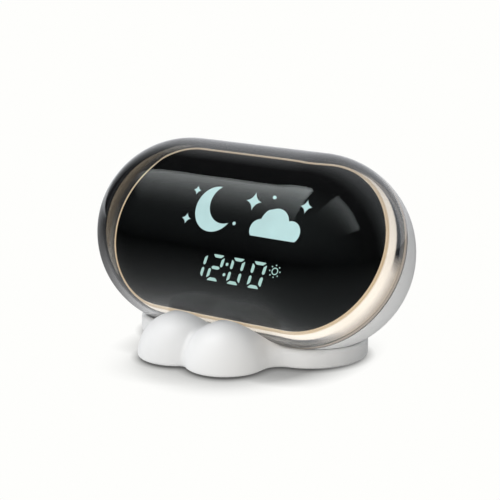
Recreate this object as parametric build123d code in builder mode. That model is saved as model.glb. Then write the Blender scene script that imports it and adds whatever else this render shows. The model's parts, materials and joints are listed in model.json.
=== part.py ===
from build123d import *
import os
from math import cos, hypot, radians, sin, sqrt

os.makedirs("parts", exist_ok=True)

# Kids alarm clock: a pill-shaped head that leans back on a stand with two round feet.
# Millimetres, +Z up, the face towards -Y. The origin is on the table, under the middle of the whole clock.

# Head: a pill lying across, cut into a clear front and a white back by a leaning seam
HEAD_LENGTH = 150.0
HEAD_RADIUS = 41.8
HEAD_LEAN = 28.8
SEAM_SETBACK = 1.2

# Front dome, with a tongue that enters the housing
DOME_WALL = 2.5
TONGUE_THICKNESS = 1.1
TONGUE_LENGTH = 2.5
TONGUE_CLEARANCE = 0.1

# Face panel, the tape that holds it and the film behind it
PANEL_MARGIN = 5.9
PANEL_FORWARD = 9.3
PANEL_THICKNESS = 2.0
PANEL_BEVEL = 0.4
TAPE_THICKNESS = 0.3
TAPE_WIDTH = 2.4
FILM_THICKNESS = 0.2
FILM_OVERLAP = 1.5

# Light ring, a skirt that widens from the panel's edge back to the board
RING_CLEARANCE = 0.15
RING_SETBACK = 0.4
RING_FRONT_WIDTH = 0.85
RING_REAR_MARGIN = 3.0
RING_FRONT_ROUND = 0.3
GROOVE_LEG = 0.6
GROOVE_WIDTH = 1.2
GROOVE_DEPTH = 1.3

# Light chips, on the display and under the ring
CHIP_LENGTH = 1.6
CHIP_WIDTH = 0.8
CHIP_HEIGHT = 0.6
RING_CHIPS_PER_SIDE = 7
RING_CHIPS_PER_END = 9
PICTURE_CHIPS = 6

# Inner frame that carries the panel
FRAME_WALL = 1.8
FRAME_PLATE = 2.0
FRAME_SHELF = 2.0
WINDOW_CLEARANCE = 0.2

# Light box behind the display: shares of the panel's length and height
LIGHT_BOX_LENGTH_SHARE = 0.52
LIGHT_BOX_HEIGHT_SHARE = 0.67
LIGHT_BOX_ROUND = 3.0

# Wells in the light box, one for each part of the picture: shares of the box's length and height
PICTURE_WELL_LENGTH_SHARE = 0.89
PICTURE_WELL_HEIGHT_SHARE = 0.46
PICTURE_WELL_RISE_SHARE = 0.19
DIGIT_COUNT = 4
DIGIT_WELL_WIDTH_SHARE = 0.12
DIGIT_WELL_HEIGHT_SHARE = 0.29
DIGIT_PITCH_SHARE = 0.149
DIGIT_ACROSS_SHARE = -0.031
DIGIT_DROP_SHARE = 0.335
ICON_WELL_RADIUS_SHARE = 0.047
ICON_ACROSS_SHARE = 0.31
ICON_DROP_SHARE = 0.27

# Circuit boards
BOARD_THICKNESS = 1.6
HOLE_CLEARANCE = 0.2

# Screws through frame and display board into the housing's posts
POST_RADIUS = 3.5
POST_GAP = 0.9
POST_MARGIN = 3.6
END_POST_MARGIN = 5.8
FRAME_SHANK_RADIUS = 1.3
FRAME_SHANK_LENGTH = 12.0
FRAME_HEAD_RADIUS = 2.5
FRAME_HEAD_HEIGHT = 1.8
PILOT_CLEARANCE = 0.05
PILOT_SPARE = 1.0

# Rear housing, with a flat deck across its back
HOUSING_WALL = 2.2
DECK_DEPTH = 3.0

# Control board behind the deck
MAIN_BOARD_MARGIN = 2.6
MAIN_BOARD_REACH = 4.7
MAIN_BOARD_GAP = 1.4
MAIN_BOARD_STANDOFF = 6.2
MAIN_POST_RADIUS = 2.5
MAIN_POST_INSET = 3.6
SMALL_SHANK_RADIUS = 1.0
SMALL_SHANK_LENGTH = 5.0
SMALL_HEAD_RADIUS = 1.9
SMALL_HEAD_HEIGHT = 1.4

# Push buttons on the deck and the press switches under them
BUTTON_NAMES = ["time_button", "alarm_button", "plus_button", "minus_button", "light_button"]
BUTTON_PITCH_SHARE = 0.162
BUTTON_RADIUS_SHARE = 0.345
BUTTON_RISE = 3.0
BUTTON_PROUD = 1.3
BUTTON_ROUND = 0.6
BUTTON_CLEARANCE = 0.3
BUTTON_FLANGE = 1.0
FLANGE_THICKNESS = 1.0
FLANGE_GAP = 0.2
BUTTON_TRAVEL = 0.8
SWITCH_SIDE = 6.0
SWITCH_HEIGHT = 3.4
PLUNGER_RADIUS = 1.7
PLUNGER_CLEARANCE = 0.2
PLUNGER_DEPTH = 1.4
SWITCH_SPARE = 0.3

# Slide switch, power inlet and reset hole in the lower row of the deck
LOWER_ROW_DROP = 8.0
POWER_LENGTH = 8.6
POWER_WIDTH = 3.8
POWER_HEIGHT = 3.4
POWER_TRAVEL = 2.5
KNOB_LENGTH = 2.4
KNOB_WIDTH = 2.0
KNOB_PROUD = 1.0
KNOB_DEPTH = 1.6
KNOB_CLEARANCE = 0.3
SOCKET_WIDTH = 9.0
SOCKET_HEIGHT = 3.2
SOCKET_SHELL = 0.3
SOCKET_SETBACK = 0.4
SOCKET_DEPTH = 6.5
TONGUE_PLATE_WIDTH = 6.7
TONGUE_PLATE_HEIGHT = 0.7
TONGUE_PLATE_SETBACK = 1.0
SOCKET_CLEARANCE = 0.2
RESET_RADIUS = 0.8

# Speaker behind a grille in the deck
SPEAKER_INSET = 1.2
SPEAKER_MARGIN = 1.1
SPEAKER_FLANGE = 1.2
BASKET_STEP = 2.5
BASKET_DEPTH = 4.0
BASKET_WALL = 0.8
MAGNET_STEP = 3.5
MAGNET_DEPTH = 4.0
CONE_GAP = 0.3
CONE_THICKNESS = 0.4
CONE_DEPTH = 2.6
CONE_SETBACK = 1.0
CONE_CAP_SHARE = 0.385
COLLAR_CLEARANCE = 0.2
COLLAR_WALL = 1.4
COLLAR_HEIGHT = 4.0
GRILLE_HOLE_SHARE = 0.1
GRILLE_PITCH_SHARE = 0.44
GRILLE_COUNT = 5
GRILLE_STEP = 2.5

# Rechargeable cell in three saddles, held down by a foam pad
CELL_RADIUS_SHARE = 0.352
CELL_END_GAP = 4.5
CELL_CLEARANCE = 0.15
CELL_CAP_RADIUS = 3.0
CELL_CAP_HEIGHT = 0.8
CELL_ROUND = 0.8
SADDLE_PITCH_SHARE = 0.34
SADDLE_THICKNESS = 2.0
SADDLE_ABOVE = 2.4
SADDLE_GAP = 0.6
SADDLE_SPAN = 12.0
CELL_PAD_LENGTH_SHARE = 0.62
CELL_PAD_WIDTH = 8.0
CELL_PAD_GAP = 0.05

# Snooze button on the crown, its board and its press switch
SNOOZE_TURN = 28.0
SNOOZE_LENGTH_SHARE = 0.6
SNOOZE_WIDTH = 13.0
SNOOZE_PROUD = 0.8
SNOOZE_ROUND = 0.5
SNOOZE_LIP = 1.2
SNOOZE_TRAVEL = 0.8
SNOOZE_FLANGE_DROP = 3.3
SNOOZE_BOARD_REACH = 10.0
SNOOZE_BOARD_WIDTH = 12.0
SNOOZE_SWITCH_GAP = 1.2
SNOOZE_POST_REACH = 6.0
SNOOZE_POST_RADIUS = 2.5

# Stand: an oval platform with a cradle, two feet in front, a plate and pads below
PLATFORM_LENGTH = 110.5
PLATFORM_WIDTH = 50.0
PLATFORM_HEIGHT = 7.9
PLATFORM_RIM_ROUND = 2.0
FOOT_RADIUS = 17.4
FOOT_ACROSS = 12.4
FOOT_HEIGHT = 1.8
FOOT_LENGTH = 32.0
TOE_FORWARD = 36.0
NECK_ROUND = 8.0
CREASE_ROUND = 3.0
BOTTOM_ROUND = 1.2
STAND_WALL = 2.0
CRADLE_FLOOR = 1.0
SEAT_CLEARANCE = 0.2
PLATE_THICKNESS = 1.0
PLATE_CLEARANCE = 0.3
PAD_THICKNESS = 0.7
PAD_RADIUS = 4.5
FRONT_PAD_FORWARD = 41.0
REAR_PAD_MARGIN = 9.0

# Screws of the stand
BASE_SCREW_ACROSS = 20.0
BASE_SHANK_RADIUS = 1.4
BASE_SHANK_LENGTH = 8.0
BASE_HEAD_RADIUS = 2.8
BASE_HEAD_HEIGHT = 1.4
BASE_BOSS_RADIUS = 3.5
BASE_BOSS_HEIGHT = 6.0
ACCESS_RADIUS = 3.6
PLATE_SHANK_RADIUS = 1.1
PLATE_SHANK_LENGTH = 4.0
PLATE_HEAD_RADIUS = 2.0
COUNTERSINK_ANGLE = 45.0
PLATE_BOSS_RADIUS = 3.0
FRONT_BOSS_FORWARD = 30.0
REAR_BOSS_ACROSS = 14.0
REAR_BOSS_MARGIN = 6.0
RECESS_SHARE = 0.6
RECESS_WIDTH_SHARE = 0.24

# Where the head lies
HEAD_STRAIGHT = HEAD_LENGTH - 2 * HEAD_RADIUS
HEAD_Y = (TOE_FORWARD + FOOT_RADIUS - HEAD_RADIUS) / 2
CRADLE_BOTTOM = PAD_THICKNESS + PLATE_THICKNESS + CRADLE_FLOOR
HEAD_Z = CRADLE_BOTTOM + SEAT_CLEARANCE + HEAD_RADIUS
LEAN = radians(HEAD_LEAN)
HEAD = Plane(origin=(0, HEAD_Y, HEAD_Z), x_dir=(1, 0, 0), z_dir=(0, -cos(LEAN), sin(LEAN)))
HEAD_AXIS = Axis(HEAD.origin, HEAD.x_dir)
FACE_AXIS = Axis(HEAD.origin, HEAD.z_dir)
SIDE = Plane(origin=HEAD.origin, x_dir=HEAD.y_dir, z_dir=HEAD.x_dir)
TURN = radians(SNOOZE_TURN)
CROWN = Plane(origin=HEAD.origin, x_dir=HEAD.x_dir, z_dir=HEAD.y_dir * cos(TURN) - HEAD.z_dir * sin(TURN))
CROWN_AXIS = Axis(CROWN.origin, CROWN.z_dir)

# Levels in front of the head's axis, and half heights of the stadium outlines there
SEAM = HEAD.offset(-SEAM_SETBACK)
DOME_INNER = HEAD_RADIUS - DOME_WALL
SEAM_INNER = sqrt(DOME_INNER**2 - SEAM_SETBACK**2)
TONGUE_OUTER = SEAM_INNER + TONGUE_THICKNESS
PANEL_RADIUS = HEAD_RADIUS - PANEL_MARGIN
PANEL_LENGTH = HEAD_STRAIGHT + 2 * PANEL_RADIUS
PANEL_BACK = PANEL_FORWARD - PANEL_THICKNESS
FRAME_FRONT = PANEL_BACK - TAPE_THICKNESS
FRAME_INNER = PANEL_RADIUS - FRAME_WALL
LED_BOARD_FRONT = -SEAM_SETBACK
LED_BOARD_BACK = LED_BOARD_FRONT - BOARD_THICKNESS
LED_BOARD_RADIUS = HEAD_RADIUS - RING_REAR_MARGIN
RING_INNER = PANEL_RADIUS + RING_CLEARANCE
RING_FRONT = PANEL_FORWARD - RING_SETBACK
RING_FRONT_RADIUS = RING_INNER + RING_FRONT_WIDTH
GROOVE_OUTER = LED_BOARD_RADIUS - GROOVE_LEG
GROOVE_INNER = GROOVE_OUTER - GROOVE_WIDTH
CHIP_PATH = (GROOVE_OUTER + GROOVE_INNER) / 2
HOUSING_INNER = HEAD_RADIUS - HOUSING_WALL
DECK_SETBACK = HEAD_RADIUS - DECK_DEPTH
DECK_INNER = -DECK_SETBACK + HOUSING_WALL
DECK_HALF = sqrt(HOUSING_INNER**2 - DECK_INNER**2)
MAIN_BOARD_REAR = DECK_INNER + MAIN_BOARD_STANDOFF
MAIN_BOARD_FRONT = MAIN_BOARD_REAR + BOARD_THICKNESS
FLANGE_REAR = DECK_INNER + FLANGE_GAP
FLANGE_FRONT = FLANGE_REAR + FLANGE_THICKNESS
SWITCH_REAR = MAIN_BOARD_REAR - SWITCH_HEIGHT
PLUNGER_TIP = SWITCH_REAR + PLUNGER_DEPTH
SNOOZE_FLANGE_TOP = HEAD_RADIUS - SNOOZE_FLANGE_DROP
SNOOZE_FLANGE_BOTTOM = SNOOZE_FLANGE_TOP - FLANGE_THICKNESS
SNOOZE_SWITCH_TOP = SNOOZE_FLANGE_BOTTOM - SNOOZE_SWITCH_GAP
SNOOZE_BOARD_TOP = SNOOZE_SWITCH_TOP - SWITCH_HEIGHT
STAND_BOTTOM = PAD_THICKNESS
PLATE_TOP = STAND_BOTTOM + PLATE_THICKNESS
TOE_Y = HEAD_Y - TOE_FORWARD

# Reach of ribs and cuts whose far end another form sets
REACH = HEAD_RADIUS

# Light box and its wells
LIGHT_BOX_LENGTH = LIGHT_BOX_LENGTH_SHARE * PANEL_LENGTH
LIGHT_BOX_HEIGHT = LIGHT_BOX_HEIGHT_SHARE * 2 * PANEL_RADIUS
PICTURE_WELL_LENGTH = PICTURE_WELL_LENGTH_SHARE * LIGHT_BOX_LENGTH
PICTURE_WELL_HEIGHT = PICTURE_WELL_HEIGHT_SHARE * LIGHT_BOX_HEIGHT
PICTURE_WELL_RISE = PICTURE_WELL_RISE_SHARE * LIGHT_BOX_HEIGHT
DIGIT_WELL_WIDTH = DIGIT_WELL_WIDTH_SHARE * LIGHT_BOX_LENGTH
DIGIT_WELL_HEIGHT = DIGIT_WELL_HEIGHT_SHARE * LIGHT_BOX_HEIGHT
DIGIT_PITCH = DIGIT_PITCH_SHARE * LIGHT_BOX_LENGTH
DIGIT_ACROSS = DIGIT_ACROSS_SHARE * LIGHT_BOX_LENGTH
DIGIT_DROP = DIGIT_DROP_SHARE * LIGHT_BOX_HEIGHT
ICON_WELL_RADIUS = ICON_WELL_RADIUS_SHARE * LIGHT_BOX_LENGTH
ICON_PLACE = (ICON_ACROSS_SHARE * LIGHT_BOX_LENGTH, -ICON_DROP_SHARE * LIGHT_BOX_HEIGHT)

# Posts beside the light box
POST_ACROSS = LIGHT_BOX_LENGTH / 2 + WINDOW_CLEARANCE + POST_GAP + POST_RADIUS
POST_RISE = FRAME_INNER - POST_MARGIN - POST_RADIUS
END_POST_ACROSS = HEAD_STRAIGHT / 2 + FRAME_INNER - END_POST_MARGIN - POST_RADIUS

# Speaker at the right end of the deck, and the control board from the left end up to it
SPEAKER_ACROSS = HEAD_STRAIGHT / 2 - SPEAKER_INSET
SPEAKER_RADIUS = DECK_HALF - SPEAKER_MARGIN
BASKET_RADIUS = SPEAKER_RADIUS - BASKET_STEP
MAGNET_RADIUS = BASKET_RADIUS - MAGNET_STEP
CONE_RADIUS = BASKET_RADIUS - BASKET_WALL - CONE_GAP
GRILLE_RADIUS = BASKET_RADIUS - GRILLE_STEP
GRILLE_PITCH = GRILLE_PITCH_SHARE * GRILLE_RADIUS
COLLAR_INNER = SPEAKER_RADIUS + COLLAR_CLEARANCE
COLLAR_OUTER = COLLAR_INNER + COLLAR_WALL
MAIN_BOARD_LEFT = -HEAD_STRAIGHT / 2 - DECK_HALF - MAIN_BOARD_REACH
MAIN_BOARD_RIGHT = SPEAKER_ACROSS - COLLAR_OUTER - MAIN_BOARD_GAP
MAIN_BOARD_LENGTH = MAIN_BOARD_RIGHT - MAIN_BOARD_LEFT
MAIN_BOARD_WIDTH = 2 * (DECK_HALF - MAIN_BOARD_MARGIN)
MAIN_BOARD_ACROSS = (MAIN_BOARD_LEFT + MAIN_BOARD_RIGHT) / 2
BUTTON_PITCH = BUTTON_PITCH_SHARE * MAIN_BOARD_LENGTH
BUTTON_RADIUS = BUTTON_RADIUS_SHARE * BUTTON_PITCH
SOCKET_ACROSS = MAIN_BOARD_ACROSS - BUTTON_PITCH
POWER_ACROSS = MAIN_BOARD_ACROSS + BUTTON_PITCH
RESET_ACROSS = MAIN_BOARD_ACROSS + 2 * BUTTON_PITCH

# Cell between the two boards and between the lower posts
CELL_RADIUS = CELL_RADIUS_SHARE * (LED_BOARD_BACK - MAIN_BOARD_FRONT)
CELL_LENGTH = 2 * (POST_ACROSS - POST_RADIUS - CELL_END_GAP)
CELL_DROP = SPEAKER_RADIUS + SADDLE_GAP + SADDLE_ABOVE
CELL_SETBACK = -(LED_BOARD_BACK + MAIN_BOARD_FRONT) / 2
SADDLE_PITCH = SADDLE_PITCH_SHARE * CELL_LENGTH

# Snooze button along the straight part of the head
SNOOZE_LENGTH = SNOOZE_LENGTH_SHARE * HEAD_STRAIGHT
SNOOZE_BOARD_LENGTH = SNOOZE_LENGTH + 2 * SNOOZE_BOARD_REACH
SNOOZE_POST_ACROSS = SNOOZE_LENGTH / 2 + SNOOZE_POST_REACH

# Rear screws and pads of the stand
REAR_BOSS_BACK = PLATFORM_WIDTH / 2 - REAR_BOSS_MARGIN
REAR_PAD_BACK = PLATFORM_WIDTH / 2 - REAR_PAD_MARGIN
REAR_PAD_ACROSS = (PLATFORM_LENGTH - PLATFORM_WIDTH) / 2

# Places that several pieces share
POST_PLACES = [(side * POST_ACROSS, rise * POST_RISE) for side in (-1, 1) for rise in (-1, 1)]
POST_PLACES += [(side * END_POST_ACROSS, 0) for side in (-1, 1)]
BUTTON_PLACES = [
    (MAIN_BOARD_ACROSS + (number - (len(BUTTON_NAMES) - 1) / 2) * BUTTON_PITCH, BUTTON_RISE)
    for number in range(len(BUTTON_NAMES))
]
MAIN_POST_PLACES = [
    (
        MAIN_BOARD_ACROSS + side * (MAIN_BOARD_LENGTH / 2 - MAIN_POST_INSET),
        rise * (MAIN_BOARD_WIDTH / 2 - MAIN_POST_INSET),
    )
    for side in (-1, 1)
    for rise in (-1, 1)
]
SNOOZE_POST_PLACES = [(-SNOOZE_POST_ACROSS, 0), (SNOOZE_POST_ACROSS, 0)]
DIGIT_PLACES = [
    (DIGIT_ACROSS + (number - (DIGIT_COUNT - 1) / 2) * DIGIT_PITCH, -DIGIT_DROP)
    for number in range(DIGIT_COUNT)
]
PICTURE_CHIP_PLACES = [
    ((number - (PICTURE_CHIPS - 1) / 2) * PICTURE_WELL_LENGTH / PICTURE_CHIPS, PICTURE_WELL_RISE)
    for number in range(PICTURE_CHIPS)
]
BASE_SCREW_PLACES = [(side * BASE_SCREW_ACROSS, HEAD_Y) for side in (-1, 1)]
PLATE_BOSS_PLACES = [(side * FOOT_ACROSS, HEAD_Y - FRONT_BOSS_FORWARD) for side in (-1, 1)]
PLATE_BOSS_PLACES += [(side * REAR_BOSS_ACROSS, HEAD_Y + REAR_BOSS_BACK) for side in (-1, 1)]
PAD_PLACES = [(side * FOOT_ACROSS, HEAD_Y - FRONT_PAD_FORWARD) for side in (-1, 1)]
PAD_PLACES += [(side * REAR_PAD_ACROSS, HEAD_Y + REAR_PAD_BACK) for side in (-1, 1)]


def pill(radius):
    """Solid pill of that radius about the head's axis, with the head's own straight length."""
    half = HEAD_STRAIGHT / 2
    with BuildPart() as solid:
        with BuildSketch(HEAD):
            with BuildLine():
                Line((-half - radius, 0), (half + radius, 0))
                CenterArc((half, 0), radius, 0, 90)
                Line((half, radius), (-half, radius))
                CenterArc((-half, 0), radius, 90, 90)
            make_face()
        revolve(axis=HEAD_AXIS)
    return solid.part


def pill_before(radius, level):
    """The part of a pill that lies in front of a level behind the head's axis."""
    with BuildPart() as solid:
        add(pill(radius))
        split(bisect_by=HEAD.offset(level), keep=Keep.TOP)
    return solid.part


def pan_screws(seat, places, shank_radius, shank_length, head_radius, head_height):
    """Pan-head screws with a cross recess: heads on the seat plane, shanks below it."""
    with BuildPart() as screws:
        with BuildSketch(seat):
            with Locations(*places):
                Circle(head_radius)
        extrude(amount=head_height)
        with BuildSketch(seat):
            with Locations(*places):
                Circle(shank_radius)
        extrude(amount=-shank_length)
        with BuildSketch(seat.offset(head_height)):
            with Locations(*places):
                Rectangle(2 * head_radius * RECESS_SHARE, 2 * head_radius * RECESS_WIDTH_SHARE)
                Rectangle(2 * head_radius * RECESS_WIDTH_SHARE, 2 * head_radius * RECESS_SHARE)
        extrude(amount=-head_height / 2, mode=Mode.SUBTRACT)
    return screws.part


def foot(side, inset):
    """One foot: a round bar that runs forward from under the head to a ball-shaped toe, cut flat below."""
    across = side * FOOT_ACROSS
    radius = FOOT_RADIUS - inset
    with BuildPart() as solid:
        with BuildSketch(Plane.XY.offset(FOOT_HEIGHT)):
            with BuildLine():
                Polyline(
                    (across, TOE_Y - radius),
                    (across, TOE_Y + FOOT_LENGTH),
                    (across + radius, TOE_Y + FOOT_LENGTH),
                    (across + radius, TOE_Y),
                )
                CenterArc((across, TOE_Y), radius, -90, 90)
            make_face()
        revolve(axis=Axis((across, 0, FOOT_HEIGHT), (0, 1, 0)))
        split(bisect_by=Plane.XY.offset(STAND_BOTTOM), keep=Keep.TOP)
    return solid.part


def platform(inset):
    """The stand's oval platform, drawn in all round by the inset."""
    with BuildPart() as solid:
        with BuildSketch(Plane.XY.offset(STAND_BOTTOM)):
            with Locations((0, HEAD_Y)):
                SlotOverall(PLATFORM_LENGTH - 2 * inset, PLATFORM_WIDTH - 2 * inset)
        extrude(amount=PLATFORM_HEIGHT - inset)
        fillet(solid.faces().sort_by(Axis.Z)[-1].edges(), PLATFORM_RIM_ROUND)
    return solid.part


# Clear front half of the pill
with BuildPart() as front_dome:
    add(pill(HEAD_RADIUS))
    add(pill(DOME_INNER), mode=Mode.SUBTRACT)
    split(bisect_by=SEAM, keep=Keep.TOP)
    with BuildSketch(SEAM):
        SlotCenterToCenter(HEAD_STRAIGHT, 2 * TONGUE_OUTER)
        SlotCenterToCenter(HEAD_STRAIGHT, 2 * SEAM_INNER, mode=Mode.SUBTRACT)
    extrude(amount=-TONGUE_LENGTH)
front_dome.part.label = "front_dome"
export_step(front_dome.part, "parts/front_dome.step")

# Smoked display window
with BuildPart() as face_panel:
    with BuildSketch(HEAD.offset(PANEL_BACK)):
        SlotCenterToCenter(HEAD_STRAIGHT, 2 * PANEL_RADIUS)
    extrude(amount=PANEL_THICKNESS)
    chamfer(face_panel.faces().sort_by(FACE_AXIS)[-1].edges(), PANEL_BEVEL)
face_panel.part.label = "face_panel"
export_step(face_panel.part, "parts/face_panel.step")

# Adhesive ring between panel and frame
with BuildPart() as panel_tape:
    with BuildSketch(HEAD.offset(FRAME_FRONT)):
        SlotCenterToCenter(HEAD_STRAIGHT, 2 * PANEL_RADIUS)
        SlotCenterToCenter(HEAD_STRAIGHT, 2 * (PANEL_RADIUS - TAPE_WIDTH), mode=Mode.SUBTRACT)
    extrude(amount=TAPE_THICKNESS)
panel_tape.part.label = "panel_tape"
export_step(panel_tape.part, "parts/panel_tape.step")

# Dark film over the light box
with BuildPart() as display_film:
    with BuildSketch(HEAD.offset(FRAME_FRONT)):
        RectangleRounded(
            LIGHT_BOX_LENGTH + 2 * FILM_OVERLAP, LIGHT_BOX_HEIGHT + 2 * FILM_OVERLAP, LIGHT_BOX_ROUND
        )
    extrude(amount=FILM_THICKNESS)
display_film.part.label = "display_film"
export_step(display_film.part, "parts/display_film.step")

# Milky skirt round the panel, with a groove over the light chips
with BuildPart() as light_ring:
    with BuildSketch(HEAD.offset(LED_BOARD_FRONT)):
        SlotCenterToCenter(HEAD_STRAIGHT, 2 * LED_BOARD_RADIUS)
    with BuildSketch(HEAD.offset(RING_FRONT)):
        SlotCenterToCenter(HEAD_STRAIGHT, 2 * RING_FRONT_RADIUS)
    loft()
    fillet(light_ring.faces().sort_by(FACE_AXIS)[-1].edges(), RING_FRONT_ROUND)
    with BuildSketch(HEAD.offset(LED_BOARD_FRONT)):
        SlotCenterToCenter(HEAD_STRAIGHT, 2 * RING_INNER)
    extrude(amount=RING_FRONT - LED_BOARD_FRONT, mode=Mode.SUBTRACT)
    with BuildSketch(HEAD.offset(LED_BOARD_FRONT)):
        SlotCenterToCenter(HEAD_STRAIGHT, 2 * GROOVE_OUTER)
        SlotCenterToCenter(HEAD_STRAIGHT, 2 * GROOVE_INNER, mode=Mode.SUBTRACT)
    extrude(amount=GROOVE_DEPTH, mode=Mode.SUBTRACT)
light_ring.part.label = "light_ring"
export_step(light_ring.part, "parts/light_ring.step")

# Tray behind the panel, with a window for the light box and a sunk seat for each screw
with BuildPart() as inner_frame:
    with BuildSketch(HEAD.offset(LED_BOARD_FRONT)):
        SlotCenterToCenter(HEAD_STRAIGHT, 2 * PANEL_RADIUS)
    extrude(amount=FRAME_FRONT - LED_BOARD_FRONT)
    with BuildSketch(HEAD.offset(LED_BOARD_FRONT)):
        SlotCenterToCenter(HEAD_STRAIGHT, 2 * FRAME_INNER)
    extrude(amount=FRAME_FRONT - FRAME_PLATE - LED_BOARD_FRONT, mode=Mode.SUBTRACT)
    with BuildSketch(HEAD.offset(LED_BOARD_FRONT)):
        with Locations(*POST_PLACES):
            Circle(POST_RADIUS)
    extrude(amount=FRAME_FRONT - LED_BOARD_FRONT)
    with BuildSketch(HEAD.offset(LED_BOARD_FRONT)):
        RectangleRounded(
            LIGHT_BOX_LENGTH + 2 * WINDOW_CLEARANCE, LIGHT_BOX_HEIGHT + 2 * WINDOW_CLEARANCE, LIGHT_BOX_ROUND
        )
    extrude(amount=FRAME_FRONT - LED_BOARD_FRONT, mode=Mode.SUBTRACT)
    with BuildSketch(HEAD.offset(LED_BOARD_FRONT)):
        with Locations(*POST_PLACES):
            Circle(FRAME_SHANK_RADIUS + HOLE_CLEARANCE)
    extrude(amount=FRAME_SHELF, mode=Mode.SUBTRACT)
    with BuildSketch(HEAD.offset(FRAME_FRONT)):
        with Locations(*POST_PLACES):
            Circle(FRAME_HEAD_RADIUS + HOLE_CLEARANCE)
    extrude(amount=LED_BOARD_FRONT + FRAME_SHELF - FRAME_FRONT, mode=Mode.SUBTRACT)
inner_frame.part.label = "inner_frame"
export_step(inner_frame.part, "parts/inner_frame.step")

# Screws that hold frame and display board on the housing's posts
with BuildPart() as frame_screws:
    add(
        pan_screws(
            HEAD.offset(LED_BOARD_FRONT + FRAME_SHELF),
            POST_PLACES,
            FRAME_SHANK_RADIUS,
            FRAME_SHANK_LENGTH,
            FRAME_HEAD_RADIUS,
            FRAME_HEAD_HEIGHT,
        )
    )
frame_screws.part.label = "frame_screws"
export_step(frame_screws.part, "parts/frame_screws.step")

# Display board, the same outline as the ring's rear
with BuildPart() as led_board:
    with BuildSketch(HEAD.offset(LED_BOARD_BACK)):
        SlotCenterToCenter(HEAD_STRAIGHT, 2 * LED_BOARD_RADIUS)
        with Locations(*POST_PLACES):
            Circle(FRAME_SHANK_RADIUS + HOLE_CLEARANCE, mode=Mode.SUBTRACT)
    extrude(amount=BOARD_THICKNESS)
led_board.part.label = "led_board"
export_step(led_board.part, "parts/led_board.step")

# White block with a light well for the picture, each digit and the icon
with BuildPart() as display_light_box:
    with BuildSketch(HEAD.offset(LED_BOARD_FRONT)):
        RectangleRounded(LIGHT_BOX_LENGTH, LIGHT_BOX_HEIGHT, LIGHT_BOX_ROUND)
        with Locations((0, PICTURE_WELL_RISE)):
            SlotOverall(PICTURE_WELL_LENGTH, PICTURE_WELL_HEIGHT, mode=Mode.SUBTRACT)
        with Locations(*DIGIT_PLACES):
            Rectangle(DIGIT_WELL_WIDTH, DIGIT_WELL_HEIGHT, mode=Mode.SUBTRACT)
        with Locations(ICON_PLACE):
            Circle(ICON_WELL_RADIUS, mode=Mode.SUBTRACT)
    extrude(amount=FRAME_FRONT - LED_BOARD_FRONT)
display_light_box.part.label = "display_light_box"
export_step(display_light_box.part, "parts/display_light_box.step")

# Light chips in the wells
with BuildPart() as display_leds:
    with BuildSketch(HEAD.offset(LED_BOARD_FRONT)):
        with Locations(*DIGIT_PLACES, ICON_PLACE, *PICTURE_CHIP_PLACES):
            Rectangle(CHIP_LENGTH, CHIP_WIDTH)
    extrude(amount=CHIP_HEIGHT)
display_leds.part.label = "display_leds"
export_step(display_leds.part, "parts/display_leds.step")

# Light chips in the ring's groove, along both sides and round both ends
END_STEP = 180 / (RING_CHIPS_PER_END + 1)
END_SWEEP = RING_CHIPS_PER_END * END_STEP
with BuildPart() as ring_leds:
    with BuildSketch(HEAD.offset(LED_BOARD_FRONT)):
        with GridLocations(HEAD_STRAIGHT / (RING_CHIPS_PER_SIDE - 1), 2 * CHIP_PATH, RING_CHIPS_PER_SIDE, 2):
            Rectangle(CHIP_LENGTH, CHIP_WIDTH)
        for side in (-1, 1):
            with Locations((side * HEAD_STRAIGHT / 2, 0)):
                first_angle = END_STEP - side * 90
                with PolarLocations(CHIP_PATH, RING_CHIPS_PER_END, first_angle, END_SWEEP):
                    Rectangle(CHIP_WIDTH, CHIP_LENGTH)
    extrude(amount=CHIP_HEIGHT)
ring_leds.part.label = "ring_leds"
export_step(ring_leds.part, "parts/ring_leds.step")

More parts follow.
